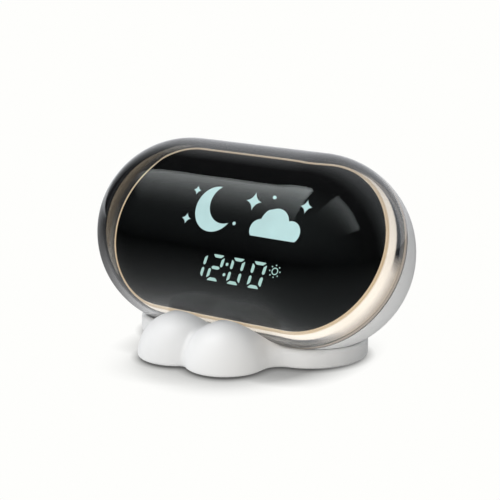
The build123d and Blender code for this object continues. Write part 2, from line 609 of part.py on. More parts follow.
# Posts, collar and saddles inside the housing, all cut to end half way into its wall
GRILLE_ROW_PITCH = GRILLE_PITCH * sqrt(3) / 2
GRILLE_PLACES = [
    (SPEAKER_ACROSS + (column + row % 2 / 2) * GRILLE_PITCH, row * GRILLE_ROW_PITCH)
    for row in range(-GRILLE_COUNT, GRILLE_COUNT + 1)
    for column in range(-GRILLE_COUNT, GRILLE_COUNT + 1)
    if hypot((column + row % 2 / 2) * GRILLE_PITCH, row * GRILLE_ROW_PITCH) <= GRILLE_RADIUS
]
CELL_STOP = CELL_LENGTH / 2 + CELL_CAP_HEIGHT + CELL_CLEARANCE + SADDLE_THICKNESS / 2
BOSS_TOP = CRADLE_BOTTOM + SEAT_CLEARANCE + HOUSING_WALL + BASE_BOSS_HEIGHT
with BuildPart() as housing_ribs:
    with BuildSketch(HEAD.offset(LED_BOARD_BACK)):
        with Locations(*POST_PLACES):
            Circle(POST_RADIUS)
    extrude(amount=-REACH)
    with BuildSketch(HEAD.offset(MAIN_BOARD_REAR)):
        with Locations(*MAIN_POST_PLACES):
            Circle(MAIN_POST_RADIUS)
    extrude(amount=-REACH)
    with BuildSketch(HEAD.offset(DECK_INNER + COLLAR_HEIGHT)):
        with Locations((SPEAKER_ACROSS, 0)):
            Circle(COLLAR_OUTER)
            Circle(COLLAR_INNER, mode=Mode.SUBTRACT)
    extrude(amount=-REACH)
    for place in (-CELL_STOP, -SADDLE_PITCH, 0, SADDLE_PITCH, CELL_STOP):
        with BuildSketch(SIDE.offset(place - SADDLE_THICKNESS / 2)):
            with Locations((-CELL_DROP + SADDLE_ABOVE, -CELL_SETBACK)):
                Rectangle(SADDLE_SPAN, REACH, align=(Align.MAX, Align.MAX))
        extrude(amount=SADDLE_THICKNESS)
    with BuildSketch(SIDE.offset(-CELL_LENGTH / 2 - CELL_CAP_HEIGHT - CELL_CLEARANCE)):
        with Locations((-CELL_DROP, -CELL_SETBACK)):
            Circle(CELL_RADIUS + CELL_CLEARANCE)
    extrude(amount=CELL_LENGTH + 2 * (CELL_CAP_HEIGHT + CELL_CLEARANCE), mode=Mode.SUBTRACT)
    with BuildSketch(CROWN.offset(SNOOZE_BOARD_TOP)):
        with Locations(*SNOOZE_POST_PLACES):
            Circle(SNOOZE_POST_RADIUS)
    extrude(amount=REACH)
    with BuildSketch(Plane.XY.offset(BOSS_TOP)):
        with Locations(*BASE_SCREW_PLACES):
            Circle(BASE_BOSS_RADIUS)
    extrude(amount=-BOSS_TOP)
    add(pill_before(HEAD_RADIUS - HOUSING_WALL / 2, DECK_INNER - HOUSING_WALL / 2), mode=Mode.INTERSECT)

# White back half of the pill: shell, flat deck with its openings, crown opening and screw holes
POWER_SLOT_LENGTH = KNOB_LENGTH + POWER_TRAVEL + 2 * KNOB_CLEARANCE
POWER_SLOT_WIDTH = KNOB_WIDTH + 2 * KNOB_CLEARANCE
with BuildPart() as rear_housing:
    add(pill(HEAD_RADIUS))
    split(bisect_by=SEAM, keep=Keep.BOTTOM)
    split(bisect_by=HEAD.offset(-DECK_SETBACK), keep=Keep.TOP)
    add(pill_before(HOUSING_INNER, DECK_INNER), mode=Mode.SUBTRACT)
    with BuildSketch(SEAM):
        SlotCenterToCenter(HEAD_STRAIGHT, 2 * (TONGUE_OUTER + TONGUE_CLEARANCE))
    extrude(amount=-TONGUE_LENGTH - TONGUE_CLEARANCE, mode=Mode.SUBTRACT)
    add(housing_ribs.part)
    with BuildSketch(HEAD.offset(-DECK_SETBACK)):
        with Locations(*BUTTON_PLACES):
            Circle(BUTTON_RADIUS + BUTTON_CLEARANCE)
        with Locations((POWER_ACROSS, -LOWER_ROW_DROP)):
            Rectangle(POWER_SLOT_LENGTH, POWER_SLOT_WIDTH)
        with Locations((SOCKET_ACROSS, -LOWER_ROW_DROP)):
            SlotOverall(SOCKET_WIDTH + 2 * SOCKET_CLEARANCE, SOCKET_HEIGHT + 2 * SOCKET_CLEARANCE)
        with Locations((RESET_ACROSS, -LOWER_ROW_DROP)):
            Circle(RESET_RADIUS)
        with Locations(*GRILLE_PLACES):
            Circle(GRILLE_HOLE_SHARE * GRILLE_RADIUS)
    extrude(amount=HOUSING_WALL, mode=Mode.SUBTRACT)
    with BuildSketch(CROWN.offset(SNOOZE_FLANGE_TOP)):
        SlotOverall(SNOOZE_LENGTH + 2 * BUTTON_CLEARANCE, SNOOZE_WIDTH + 2 * BUTTON_CLEARANCE)
    extrude(amount=REACH, mode=Mode.SUBTRACT)
    with BuildSketch(HEAD.offset(LED_BOARD_BACK)):
        with Locations(*POST_PLACES):
            Circle(FRAME_SHANK_RADIUS + PILOT_CLEARANCE)
    extrude(amount=FRAME_SHELF + BOARD_THICKNESS - FRAME_SHANK_LENGTH - PILOT_SPARE, mode=Mode.SUBTRACT)
    with BuildSketch(HEAD.offset(MAIN_BOARD_REAR)):
        with Locations(*MAIN_POST_PLACES):
            Circle(SMALL_SHANK_RADIUS + PILOT_CLEARANCE)
    extrude(amount=BOARD_THICKNESS - SMALL_SHANK_LENGTH - PILOT_SPARE, mode=Mode.SUBTRACT)
    with BuildSketch(CROWN.offset(SNOOZE_BOARD_TOP)):
        with Locations(*SNOOZE_POST_PLACES):
            Circle(SMALL_SHANK_RADIUS + PILOT_CLEARANCE)
    extrude(amount=SMALL_SHANK_LENGTH - BOARD_THICKNESS + PILOT_SPARE, mode=Mode.SUBTRACT)
    with BuildSketch(Plane.XY):
        with Locations(*BASE_SCREW_PLACES):
            Circle(BASE_SHANK_RADIUS + PILOT_CLEARANCE)
    extrude(amount=PLATE_TOP + BASE_SHANK_LENGTH + PILOT_SPARE, mode=Mode.SUBTRACT)
rear_housing.part.label = "rear_housing"
export_step(rear_housing.part, "parts/rear_housing.step")

# Control board on its four posts
with BuildPart() as main_board:
    with BuildSketch(HEAD.offset(MAIN_BOARD_REAR)):
        with Locations((MAIN_BOARD_ACROSS, 0)):
            Rectangle(MAIN_BOARD_LENGTH, MAIN_BOARD_WIDTH)
        with Locations(*MAIN_POST_PLACES):
            Circle(SMALL_SHANK_RADIUS + HOLE_CLEARANCE, mode=Mode.SUBTRACT)
    extrude(amount=BOARD_THICKNESS)
main_board.part.label = "main_board"
export_step(main_board.part, "parts/main_board.step")

# Screws of the control board
with BuildPart() as board_screws:
    add(
        pan_screws(
            HEAD.offset(MAIN_BOARD_FRONT),
            MAIN_POST_PLACES,
            SMALL_SHANK_RADIUS,
            SMALL_SHANK_LENGTH,
            SMALL_HEAD_RADIUS,
            SMALL_HEAD_HEIGHT,
        )
    )
board_screws.part.label = "board_screws"
export_step(board_screws.part, "parts/board_screws.step")

# Press switch bodies under the push buttons, each with a hole for its plunger
with BuildPart() as switch_housings:
    with BuildSketch(HEAD.offset(MAIN_BOARD_REAR)):
        with Locations(*BUTTON_PLACES):
            Rectangle(SWITCH_SIDE, SWITCH_SIDE)
    extrude(amount=-SWITCH_HEIGHT)
    with BuildSketch(HEAD.offset(SWITCH_REAR)):
        with Locations(*BUTTON_PLACES):
            Circle(PLUNGER_RADIUS + PLUNGER_CLEARANCE)
    extrude(amount=PLUNGER_DEPTH + BUTTON_TRAVEL + SWITCH_SPARE, mode=Mode.SUBTRACT)
switch_housings.part.label = "switch_housings"
export_step(switch_housings.part, "parts/switch_housings.step")

# Push buttons, held in by a flange behind the deck, and the plunger under each
for button_name, button_place in zip(BUTTON_NAMES, BUTTON_PLACES):
    with BuildPart() as button:
        with BuildSketch(HEAD.offset(FLANGE_FRONT)):
            with Locations(button_place):
                Circle(BUTTON_RADIUS)
        extrude(amount=-FLANGE_FRONT - DECK_SETBACK - BUTTON_PROUD)
        fillet(button.faces().sort_by(FACE_AXIS)[0].edges(), BUTTON_ROUND)
        with BuildSketch(HEAD.offset(FLANGE_FRONT)):
            with Locations(button_place):
                Circle(BUTTON_RADIUS + BUTTON_FLANGE)
        extrude(amount=-FLANGE_THICKNESS)
    button.part.label = button_name
    export_step(button.part, f"parts/{button_name}.step")
    with BuildPart() as plunger:
        with BuildSketch(HEAD.offset(FLANGE_FRONT)):
            with Locations(button_place):
                Circle(PLUNGER_RADIUS)
        extrude(amount=PLUNGER_TIP - FLANGE_FRONT)
    plunger.part.label = f"{button_name}_plunger"
    export_step(plunger.part, f"parts/{button_name}_plunger.step")

# Slide switch body and its knob, which rests at the left end of its slot
with BuildPart() as power_switch:
    with BuildSketch(HEAD.offset(MAIN_BOARD_REAR)):
        with Locations((POWER_ACROSS, -LOWER_ROW_DROP)):
            Rectangle(POWER_LENGTH, POWER_WIDTH)
    extrude(amount=-POWER_HEIGHT)
    with BuildSketch(HEAD.offset(MAIN_BOARD_REAR - POWER_HEIGHT)):
        with Locations((POWER_ACROSS, -LOWER_ROW_DROP)):
            Rectangle(POWER_SLOT_LENGTH, POWER_SLOT_WIDTH)
    extrude(amount=KNOB_DEPTH + SWITCH_SPARE, mode=Mode.SUBTRACT)
power_switch.part.label = "power_switch"
export_step(power_switch.part, "parts/power_switch.step")

with BuildPart() as power_knob:
    with BuildSketch(HEAD.offset(-DECK_SETBACK - KNOB_PROUD)):
        with Locations((POWER_ACROSS - POWER_TRAVEL / 2, -LOWER_ROW_DROP)):
            Rectangle(KNOB_LENGTH, KNOB_WIDTH)
    extrude(amount=MAIN_BOARD_REAR - POWER_HEIGHT + KNOB_DEPTH + DECK_SETBACK + KNOB_PROUD)
power_knob.part.label = "power_knob"
export_step(power_knob.part, "parts/power_knob.step")

# Power inlet: an oval metal shell with a tongue inside
SOCKET_REAR = -DECK_SETBACK + SOCKET_SETBACK
with BuildPart() as usb_socket:
    with BuildSketch(HEAD.offset(SOCKET_REAR)):
        with Locations((SOCKET_ACROSS, -LOWER_ROW_DROP)):
            SlotOverall(SOCKET_WIDTH, SOCKET_HEIGHT)
    extrude(amount=MAIN_BOARD_REAR - SOCKET_REAR)
    with BuildSketch(HEAD.offset(SOCKET_REAR)):
        with Locations((SOCKET_ACROSS, -LOWER_ROW_DROP)):
            SlotOverall(SOCKET_WIDTH - 2 * SOCKET_SHELL, SOCKET_HEIGHT - 2 * SOCKET_SHELL)
    extrude(amount=SOCKET_DEPTH, mode=Mode.SUBTRACT)
    with BuildSketch(HEAD.offset(SOCKET_REAR + SOCKET_DEPTH)):
        with Locations((SOCKET_ACROSS, -LOWER_ROW_DROP)):
            Rectangle(TONGUE_PLATE_WIDTH, TONGUE_PLATE_HEIGHT)
    extrude(amount=TONGUE_PLATE_SETBACK - SOCKET_DEPTH)
usb_socket.part.label = "usb_socket"
export_step(usb_socket.part, "parts/usb_socket.step")

# Speaker: steel basket, paper cone and magnet
with BuildPart() as speaker_frame:
    with BuildSketch(HEAD.offset(DECK_INNER)):
        with Locations((SPEAKER_ACROSS, 0)):
            Circle(SPEAKER_RADIUS)
    extrude(amount=SPEAKER_FLANGE)
    with BuildSketch(HEAD.offset(DECK_INNER)):
        with Locations((SPEAKER_ACROSS, 0)):
            Circle(BASKET_RADIUS)
    extrude(amount=SPEAKER_FLANGE + BASKET_DEPTH)
    with BuildSketch(HEAD.offset(DECK_INNER)):
        with Locations((SPEAKER_ACROSS, 0)):
            Circle(BASKET_RADIUS - BASKET_WALL)
    extrude(amount=SPEAKER_FLANGE + BASKET_DEPTH - BASKET_WALL, mode=Mode.SUBTRACT)
speaker_frame.part.label = "speaker_frame"
export_step(speaker_frame.part, "parts/speaker_frame.step")

with BuildPart() as speaker_cone:
    for drop, mode in ((0, Mode.ADD), (CONE_THICKNESS, Mode.SUBTRACT)):
        with BuildSketch(HEAD.offset(DECK_INNER + CONE_SETBACK - drop)):
            with Locations((SPEAKER_ACROSS, 0)):
                Circle(CONE_RADIUS)
        with BuildSketch(HEAD.offset(DECK_INNER + CONE_SETBACK + CONE_DEPTH - drop)):
            with Locations((SPEAKER_ACROSS, 0)):
                Circle(CONE_CAP_SHARE * CONE_RADIUS)
        loft(mode=mode)
speaker_cone.part.label = "speaker_cone"
export_step(speaker_cone.part, "parts/speaker_cone.step")

with BuildPart() as speaker_magnet:
    with BuildSketch(HEAD.offset(DECK_INNER + SPEAKER_FLANGE + BASKET_DEPTH)):
        with Locations((SPEAKER_ACROSS, 0)):
            Circle(MAGNET_RADIUS)
    extrude(amount=MAGNET_DEPTH)
speaker_magnet.part.label = "speaker_magnet"
export_step(speaker_magnet.part, "parts/speaker_magnet.step")

# Rechargeable cell lying across, with its raised contact at one end
with BuildPart() as battery_cell:
    with BuildSketch(SIDE.offset(-CELL_LENGTH / 2)):
        with Locations((-CELL_DROP, -CELL_SETBACK)):
            Circle(CELL_RADIUS)
    extrude(amount=CELL_LENGTH)
    fillet(battery_cell.edges().filter_by(GeomType.CIRCLE), CELL_ROUND)
    with BuildSketch(SIDE.offset(CELL_LENGTH / 2)):
        with Locations((-CELL_DROP, -CELL_SETBACK)):
            Circle(CELL_CAP_RADIUS)
    extrude(amount=CELL_CAP_HEIGHT)
battery_cell.part.label = "battery_cell"
export_step(battery_cell.part, "parts/battery_cell.step")

# Foam pad between the cell and the display board
with BuildPart() as battery_pad:
    with BuildSketch(HEAD.offset(LED_BOARD_BACK)):
        with Locations((0, -CELL_DROP)):
            Rectangle(CELL_PAD_LENGTH_SHARE * CELL_LENGTH, CELL_PAD_WIDTH)
    extrude(amount=CELL_RADIUS - CELL_SETBACK + CELL_PAD_GAP - LED_BOARD_BACK)
battery_pad.part.label = "battery_pad"
export_step(battery_pad.part, "parts/battery_pad.step")

# Snooze button: a piece of the pill's own round, slightly proud, with a lip inside the wall
with BuildPart() as snooze_button:
    with BuildSketch(CROWN.offset(SNOOZE_FLANGE_BOTTOM)):
        SlotOverall(SNOOZE_LENGTH, SNOOZE_WIDTH)
    extrude(amount=REACH)
    add(pill(HEAD_RADIUS + SNOOZE_PROUD), mode=Mode.INTERSECT)
    fillet(snooze_button.faces().sort_by(CROWN_AXIS)[-1].edges(), SNOOZE_ROUND)
    with BuildSketch(CROWN.offset(SNOOZE_FLANGE_BOTTOM)):
        SlotOverall(SNOOZE_LENGTH + 2 * SNOOZE_LIP, SNOOZE_WIDTH + 2 * SNOOZE_LIP)
    extrude(amount=FLANGE_THICKNESS)
snooze_button.part.label = "snooze_button"
export_step(snooze_button.part, "parts/snooze_button.step")

with BuildPart() as snooze_plunger:
    with BuildSketch(CROWN.offset(SNOOZE_FLANGE_BOTTOM)):
        Circle(PLUNGER_RADIUS)
    extrude(amount=-SNOOZE_SWITCH_GAP - PLUNGER_DEPTH)
snooze_plunger.part.label = "snooze_plunger"
export_step(snooze_plunger.part, "parts/snooze_plunger.step")

# Board under the snooze button, its press switch body and its screws
with BuildPart() as snooze_board:
    with BuildSketch(CROWN.offset(SNOOZE_BOARD_TOP)):
        Rectangle(SNOOZE_BOARD_LENGTH, SNOOZE_BOARD_WIDTH)
        with Locations(*SNOOZE_POST_PLACES):
            Circle(SMALL_SHANK_RADIUS + HOLE_CLEARANCE, mode=Mode.SUBTRACT)
    extrude(amount=-BOARD_THICKNESS)
snooze_board.part.label = "snooze_board"
export_step(snooze_board.part, "parts/snooze_board.step")

with BuildPart() as snooze_switch:
    with BuildSketch(CROWN.offset(SNOOZE_BOARD_TOP)):
        Rectangle(SWITCH_SIDE, SWITCH_SIDE)
    extrude(amount=SWITCH_HEIGHT)
    with BuildSketch(CROWN.offset(SNOOZE_SWITCH_TOP)):
        Circle(PLUNGER_RADIUS + PLUNGER_CLEARANCE)
    extrude(amount=-PLUNGER_DEPTH - SNOOZE_TRAVEL - SWITCH_SPARE, mode=Mode.SUBTRACT)
snooze_switch.part.label = "snooze_switch"
export_step(snooze_switch.part, "parts/snooze_switch.step")

SNOOZE_SEAT = Plane(
    origin=CROWN.offset(SNOOZE_BOARD_TOP - BOARD_THICKNESS).origin, x_dir=CROWN.x_dir, z_dir=-CROWN.z_dir
)
with BuildPart() as snooze_screws:
    add(
        pan_screws(
            SNOOZE_SEAT,
            SNOOZE_POST_PLACES,
            SMALL_SHANK_RADIUS,
            SMALL_SHANK_LENGTH,
            SMALL_HEAD_RADIUS,
            SMALL_HEAD_HEIGHT,
        )
    )
snooze_screws.part.label = "snooze_screws"
export_step(snooze_screws.part, "parts/snooze_screws.step")

# Hollow of the stand, which leaves its walls, the cradle's floor and the bosses for the plate
with BuildPart() as stand_cavity:
    add(platform(STAND_WALL))
    add(foot(-1, STAND_WALL))
    add(foot(1, STAND_WALL))
    add(pill(HEAD_RADIUS + SEAT_CLEARANCE + CRADLE_FLOOR), mode=Mode.SUBTRACT)
    with BuildSketch(Plane.XY.offset(PLATE_TOP)):
        with Locations(*PLATE_BOSS_PLACES):
            Circle(PLATE_BOSS_RADIUS)
    extrude(amount=FOOT_HEIGHT + FOOT_RADIUS, mode=Mode.SUBTRACT)

# Stand: platform and feet blended into one form, with a cradle cut to the pill
with BuildPart() as base_shell:
    add(platform(0))
    add([foot(-1, 0), foot(1, 0)])
    meeting_edges = base_shell.edges(Select.NEW).filter_by_position(
        Axis.Y, TOE_Y - FOOT_RADIUS, TOE_Y + FOOT_LENGTH - CREASE_ROUND
    )
    crease_edges = meeting_edges.filter_by_position(Axis.X, -CREASE_ROUND, CREASE_ROUND)
    neck_edges = meeting_edges - crease_edges
    fillet(neck_edges, NECK_ROUND)
    fillet(crease_edges, CREASE_ROUND)
    fillet(base_shell.edges().group_by(Axis.Z)[0], BOTTOM_ROUND)
    add(pill(HEAD_RADIUS + SEAT_CLEARANCE), mode=Mode.SUBTRACT)
    add(stand_cavity.part, mode=Mode.SUBTRACT)
    with BuildSketch(Plane.XY.offset(PLATE_TOP)):
        with Locations(*BASE_SCREW_PLACES):
            Circle(BASE_SHANK_RADIUS + HOLE_CLEARANCE)
    extrude(amount=REACH, mode=Mode.SUBTRACT)
    with BuildSketch(Plane.XY.offset(PLATE_TOP)):
        with Locations(*PLATE_BOSS_PLACES):
            Circle(PLATE_SHANK_RADIUS + PILOT_CLEARANCE)
    extrude(amount=PLATE_SHANK_LENGTH, mode=Mode.SUBTRACT)
base_shell.part.label = "base_shell"
export_step(base_shell.part, "parts/base_shell.step")

# Plate that closes the stand, with sunk screw holes and two holes for reaching the head's screws
PLATE_INSET = STAND_WALL + PLATE_CLEARANCE
PLATE_LOBE = sqrt((FOOT_RADIUS - STAND_WALL) ** 2 - (FOOT_HEIGHT - STAND_BOTTOM) ** 2) - PLATE_CLEARANCE
PLATE_HEAD_DEPTH = PLATE_HEAD_RADIUS - PLATE_SHANK_RADIUS
with BuildPart() as base_plate:
    with BuildSketch(Plane.XY.offset(STAND_BOTTOM)):
        with Locations((0, HEAD_Y)):
            SlotOverall(PLATFORM_LENGTH - 2 * PLATE_INSET, PLATFORM_WIDTH - 2 * PLATE_INSET)
        for side in (-1, 1):
            with Locations((side * FOOT_ACROSS, TOE_Y)):
                Circle(PLATE_LOBE)
                Rectangle(2 * PLATE_LOBE, FOOT_LENGTH, align=(Align.CENTER, Align.MIN))
        with Locations(*BASE_SCREW_PLACES):
            Circle(ACCESS_RADIUS, mode=Mode.SUBTRACT)
        with Locations(*PLATE_BOSS_PLACES):
            Circle(PLATE_SHANK_RADIUS + HOLE_CLEARANCE, mode=Mode.SUBTRACT)
    extrude(amount=PLATE_THICKNESS)
    with BuildSketch(Plane.XY.offset(STAND_BOTTOM)):
        with Locations(*PLATE_BOSS_PLACES):
            Circle(PLATE_HEAD_RADIUS + HOLE_CLEARANCE)
    extrude(amount=PLATE_HEAD_DEPTH, taper=COUNTERSINK_ANGLE, mode=Mode.SUBTRACT)
base_plate.part.label = "base_plate"
export_step(base_plate.part, "parts/base_plate.step")

# Countersunk screws of the plate
with BuildPart() as plate_screws:
    with BuildSketch(Plane.XY.offset(STAND_BOTTOM)):
        with Locations(*PLATE_BOSS_PLACES):
            Circle(PLATE_HEAD_RADIUS)
    extrude(amount=PLATE_HEAD_DEPTH, taper=COUNTERSINK_ANGLE)
    with BuildSketch(Plane.XY.offset(STAND_BOTTOM)):
        with Locations(*PLATE_BOSS_PLACES):
            Circle(PLATE_SHANK_RADIUS)
    extrude(amount=PLATE_SHANK_LENGTH)
plate_screws.part.label = "plate_screws"
export_step(plate_screws.part, "parts/plate_screws.step")

# Screws that hold the head in the cradle
BASE_SEAT = Plane(origin=(0, 0, PLATE_TOP), x_dir=(-1, 0, 0), z_dir=(0, 0, -1))
with BuildPart() as base_screws:
    add(
        pan_screws(
            BASE_SEAT,
            BASE_SCREW_PLACES,
            BASE_SHANK_RADIUS,
            BASE_SHANK_LENGTH,
            BASE_HEAD_RADIUS,
            BASE_HEAD_HEIGHT,
        )
    )
base_screws.part.label = "base_screws"
export_step(base_screws.part, "parts/base_screws.step")

# Rubber pads under the plate
with BuildPart() as foot_pads:
    with BuildSketch(Plane.XY):
        with Locations(*PAD_PLACES):
            Circle(PAD_RADIUS)
    extrude(amount=PAD_THICKNESS)
foot_pads.part.label = "foot_pads"
export_step(foot_pads.part, "parts/foot_pads.step")
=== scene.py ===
import json

import bpy
import numpy as np
from bpy.props import FloatProperty, FloatVectorProperty, PointerProperty
from mathutils import Matrix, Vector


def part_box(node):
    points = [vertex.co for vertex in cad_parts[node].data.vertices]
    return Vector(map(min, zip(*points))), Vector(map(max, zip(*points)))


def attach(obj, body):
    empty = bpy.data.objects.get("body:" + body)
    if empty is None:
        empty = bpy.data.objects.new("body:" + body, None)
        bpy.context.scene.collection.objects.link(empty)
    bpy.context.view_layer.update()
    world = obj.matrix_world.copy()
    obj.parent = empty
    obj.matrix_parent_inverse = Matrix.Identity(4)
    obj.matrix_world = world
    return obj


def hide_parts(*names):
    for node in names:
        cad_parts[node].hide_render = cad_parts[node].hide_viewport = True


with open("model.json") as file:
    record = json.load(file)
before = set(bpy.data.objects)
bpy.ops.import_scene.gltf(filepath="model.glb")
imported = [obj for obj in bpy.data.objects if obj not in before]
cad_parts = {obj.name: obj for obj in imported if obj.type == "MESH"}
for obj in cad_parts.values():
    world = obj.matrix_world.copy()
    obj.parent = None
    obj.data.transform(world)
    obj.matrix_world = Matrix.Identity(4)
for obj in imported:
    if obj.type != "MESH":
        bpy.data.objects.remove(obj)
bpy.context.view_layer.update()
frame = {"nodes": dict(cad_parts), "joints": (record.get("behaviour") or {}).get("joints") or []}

bl_info = {
    "name": "Kids alarm clock",
    "version": (1, 0, 0),
    "blender": (4, 5, 0),
    "location": "View3D > Sidebar > Clock",
    "description": "Finishes, lit display and studio for the packed clock",
    "category": "Object",
}

# The body that the added pieces ride on, and the push buttons
CLOCK_BODY = "clock"
BUTTONS = ("time_button", "alarm_button", "plus_button", "minus_button", "light_button")


def srgb(red, green, blue):
    """Linear colour of a picture value from 0 to 255, by the usual power curve with a straight toe."""
    full, toe_share, toe_slope, lift_share, power = 255, 0.04045, 12.92, 0.055, 2.4
    shares = np.array((red, green, blue)) / full
    curve = ((shares + lift_share) / (1 + lift_share)) ** power
    return tuple(np.where(shares <= toe_share, shares / toe_slope, curve))


def shaded(colour, share):
    """A colour made darker or lighter by a share."""
    return tuple(part * share for part in colour)


def joint_axis(name):
    """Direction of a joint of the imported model."""
    return np.array(next(joint["axis"] for joint in frame["joints"] if joint["name"] == name), dtype=float)


# The head's own frame: across the face, up the face and out of it
ACROSS = np.array((1.0, 0.0, 0.0))
OUT = joint_axis("time_button_press")
UP = np.cross(OUT, ACROSS)
DOME_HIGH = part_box("front_dome")[1]
BACK_LOW, BACK_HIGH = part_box("rear_housing")
HEAD_RADIUS = (DOME_HIGH.z - BACK_LOW.z) / 2
HEAD_CENTRE = np.array((0.0, BACK_HIGH.y - HEAD_RADIUS, (DOME_HIGH.z + BACK_LOW.z) / 2))


def level_range(name):
    """Lowest and highest level of a CAD node, measured out of the face from the head's centre."""
    mesh = frame["nodes"][name].data
    points = np.empty(3 * len(mesh.vertices))
    mesh.vertices.foreach_get("co", points)
    levels = (points.reshape(-1, 3) - HEAD_CENTRE) @ OUT
    return levels.min(), levels.max()


PANEL_FRONT = level_range("face_panel")[1]
RING_REAR, RING_FRONT = level_range("light_ring")


def on_face(flat, level):
    """Points drawn flat on the face, as across and up, carried out to a level."""
    return HEAD_CENTRE + flat[:, :1] * ACROSS + flat[:, 1:] * UP + level * OUT


BLACK, WHITE = (0.0, 0.0, 0.0), (1.0, 1.0, 1.0)
MIDDLE_SHARE = 0.5
# Keeps a test or a division off zero
TINY = 1e-9

# Grain of the finishes: the size of its patches or cells, and its depth where it is raised
TONE_PATCH = 0.03
MOULD_GRAIN, PLATE_GRAIN, SLEEVE_GRAIN, MOULD_DEPTH = 0.0004, 0.0006, 0.002, 0.000006
DRAWN_GRAIN, FROST_SPECK = 0.0006, 0.0005
DOME_HAZE, PANEL_HAZE = 0.02, 0.012
RING_RIPPLE, LIGHT_PATCH = 0.011, 0.006
SOLDER_PITCH, TRACK_PITCH, TRACK_DEPTH = 0.0034, 0.006, 0.00003
RUBBER_CELL, RUBBER_DEPTH = 0.0005, 0.00003
PAPER_CELL, PAPER_DEPTH = 0.0007, 0.00004
FERRITE_CELL, FERRITE_DEPTH = 0.0009, 0.00002
FOAM_CELL, FOAM_DEPTH = 0.0008, 0.0002
FLOOR_GRAIN = 0.002

# Start and end of each change in the painted glow of seam and ring, and of the painted shade that dims the
# ring, across the face or up it from the head's centre
SEAM_PAINTED_GLOW_RIGHT = (0.02, 0.05)
RING_RIGHT_PAINTED_GLOW, RING_LEFT_PAINTED_SHADE = (0.03, 0.045), (-0.045, -0.06)
RING_BELOW_PAINTED_GLOW, RING_ABOVE_PAINTED_GLOW = (0.004, -0.004), (-0.037, -0.03)
RING_HIGH_PAINTED_SHADE, RING_CROWN_PAINTED_SHADE = (-0.008, 0.006), (-0.01, 0.03)
RING_PAINTED_FADE, RING_DULL = srgb(214, 205, 195), (0.86, 0.84, 0.82)

# Half the angle of the tiny flat at the dome's crest, in radians
CREST_TURN = 0.0006

# The time, and the places on the face and the sizes of colon, sun sign and night picture
TIME = "1200"
COLON_RISE, COLON_RADIUS = 0.0023, 0.0007
SUN_CENTRE, SUN_INNER, SUN_OUTER = (0.0222, -0.013), 0.0012, 0.0016
SUN_RAYS, SUN_RAY_REACH, SUN_RAY_RADIUS = 8, 0.0026, 0.0003
MOON_CENTRE, MOON_RADIUS, MOON_TILT = (-0.0165, 0.0095), 0.0103, np.radians(28)
BITE_RADIUS, BITE_SHIFT = 0.0088, 0.0061
CLOUD_CENTRE, CLOUD_FLOOR = (0.0165, 0.0048), -0.0043
# Each puff and each star: across, up and radius
CLOUD_PUFFS = (
    (-0.0078, -0.0012, 0.0046),
    (-0.0012, 0.0024, 0.0068),
    (0.0072, -0.0006, 0.0052),
    (0.0, -0.0016, 0.0052),
)
STARS = (
    (0.0022, 0.0155, 0.0042),
    (0.0282, 0.0165, 0.0032),
    (-0.0302, 0.0035, 0.0026),
    (-0.0288, 0.0168, 0.0022),
)
DOTS, DOT_RADIUS = ((0.0118, 0.0185), (-0.0045, 0.0045)), 0.0008

# The photograph's camera: its turn and tip, the level way it looks and its place off the head's centre
PHOTO_TURN, PHOTO_TIP = np.radians(35.97), np.radians(13.61)
PHOTO_WAY = (-np.sin(PHOTO_TURN), np.cos(PHOTO_TURN), 0.0)
CAMERA_AWAY, CAMERA_LEFT, CAMERA_LOW = 0.64765, 0.00091, 0.00362
CAMERA_SENSOR, CAMERA_CLIP = 36.0, (0.01, 50.0)

# The flat lamps: middle and size. The gleam hangs lower than the softbox, or one would hide the other
OVERHEAD_PLACE, OVERHEAD_SIZE = (-0.37, -0.49, 0.745), (0.76, 0.92)
GLEAM_PLACE, GLEAM_SIZE = (-0.47, -0.49, 0.735), (0.96, 0.92)
GLEAM_SHARE, GLEAM_LEFT_SHARE = 1.42, 0.1
RIGHT_PLACE, RIGHT_SIZE = (0.72, -0.22, 0.745), (0.9, 0.6)
BOUNCE_PLACE, BOUNCE_AIM = np.array((0.1, -0.125, 0.045)), np.array((0.03, -0.03, 0.01))
BOUNCE_SIZE = (0.1, 0.06)

# The floor: its first and last ring, its grid and its colours
FLOOR_REACH, FLOOR_RINGS, FLOOR_SPOKES = (0.05, 9.0), 40, 96
FLOOR_WHITE, FLOOR_DULL = srgb(254, 254, 252), srgb(252, 252, 250)
# The floor as the clock mirrors it: the distance from which it fades, and where it is pale at the back left
FLOOR_LEAST, MIRROR_REACH = 0.01, 0.075
PALE_BACK, PALE_LEFT, MIRROR_PALE = (0.0, 0.4), (-0.05, 0.25), (0.85, 0.87, 0.9)
# Floor and room through the dome: dark where the photograph looks, pale aside of it and away from the clock
PALE_SHARES, PALE_AWAY = (0.75, 0.62), (0.1, 0.2)
THROUGH_DARK, THROUGH_PALE = (0.015, 0.015, 0.016), (0.95, 0.95, 0.95)
# The floor's painted shadow: the oval round the stand where it fades, its reach, its lean and its dark
# contact line, and the painted shade where the matt floor touches the clock
SHADOW_SHIFT, SHADOW_MARGINS, SHADOW_FADE_SHARES = (0.006, 0.0, 0.0), (-0.004, 0.03), (1.1, 0.75)
SHADOW_REACH, CRACK_REACH, CONTACT_REACH = 0.023, 0.004, 0.008
LEAN_SHARE, RISE_SHARE, CRACK_SHARE, CONTACT_SHARE = 0.9, 0.43, 0.25, 0.3
SHADOW_SAMPLES, CONTACT_SAMPLES = 16, 8

# The room as the clock mirrors it, from the front to the back, and the glow high in front
ROOM_STOPS = (
    (0.0, (0.01, 0.011, 0.012)),
    (0.66, (0.015, 0.016, 0.017)),
    (0.75, (0.4, 0.41, 0.42)),
    (0.82, (0.8, 0.81, 0.84)),
    (1.0, (0.9, 0.92, 0.96)),
)
FRONT_GLOW, FRONT_GLOW_SHARE = (0.93, 1.0, 1.0), 0.67
# The soft light on matt surfaces: the way that it falls off, and its shares at the start and the end of it
DIM_WAY, AMBIENT_SHARES = (0.92, 0.39, 0.0), (1.3, 0.2)

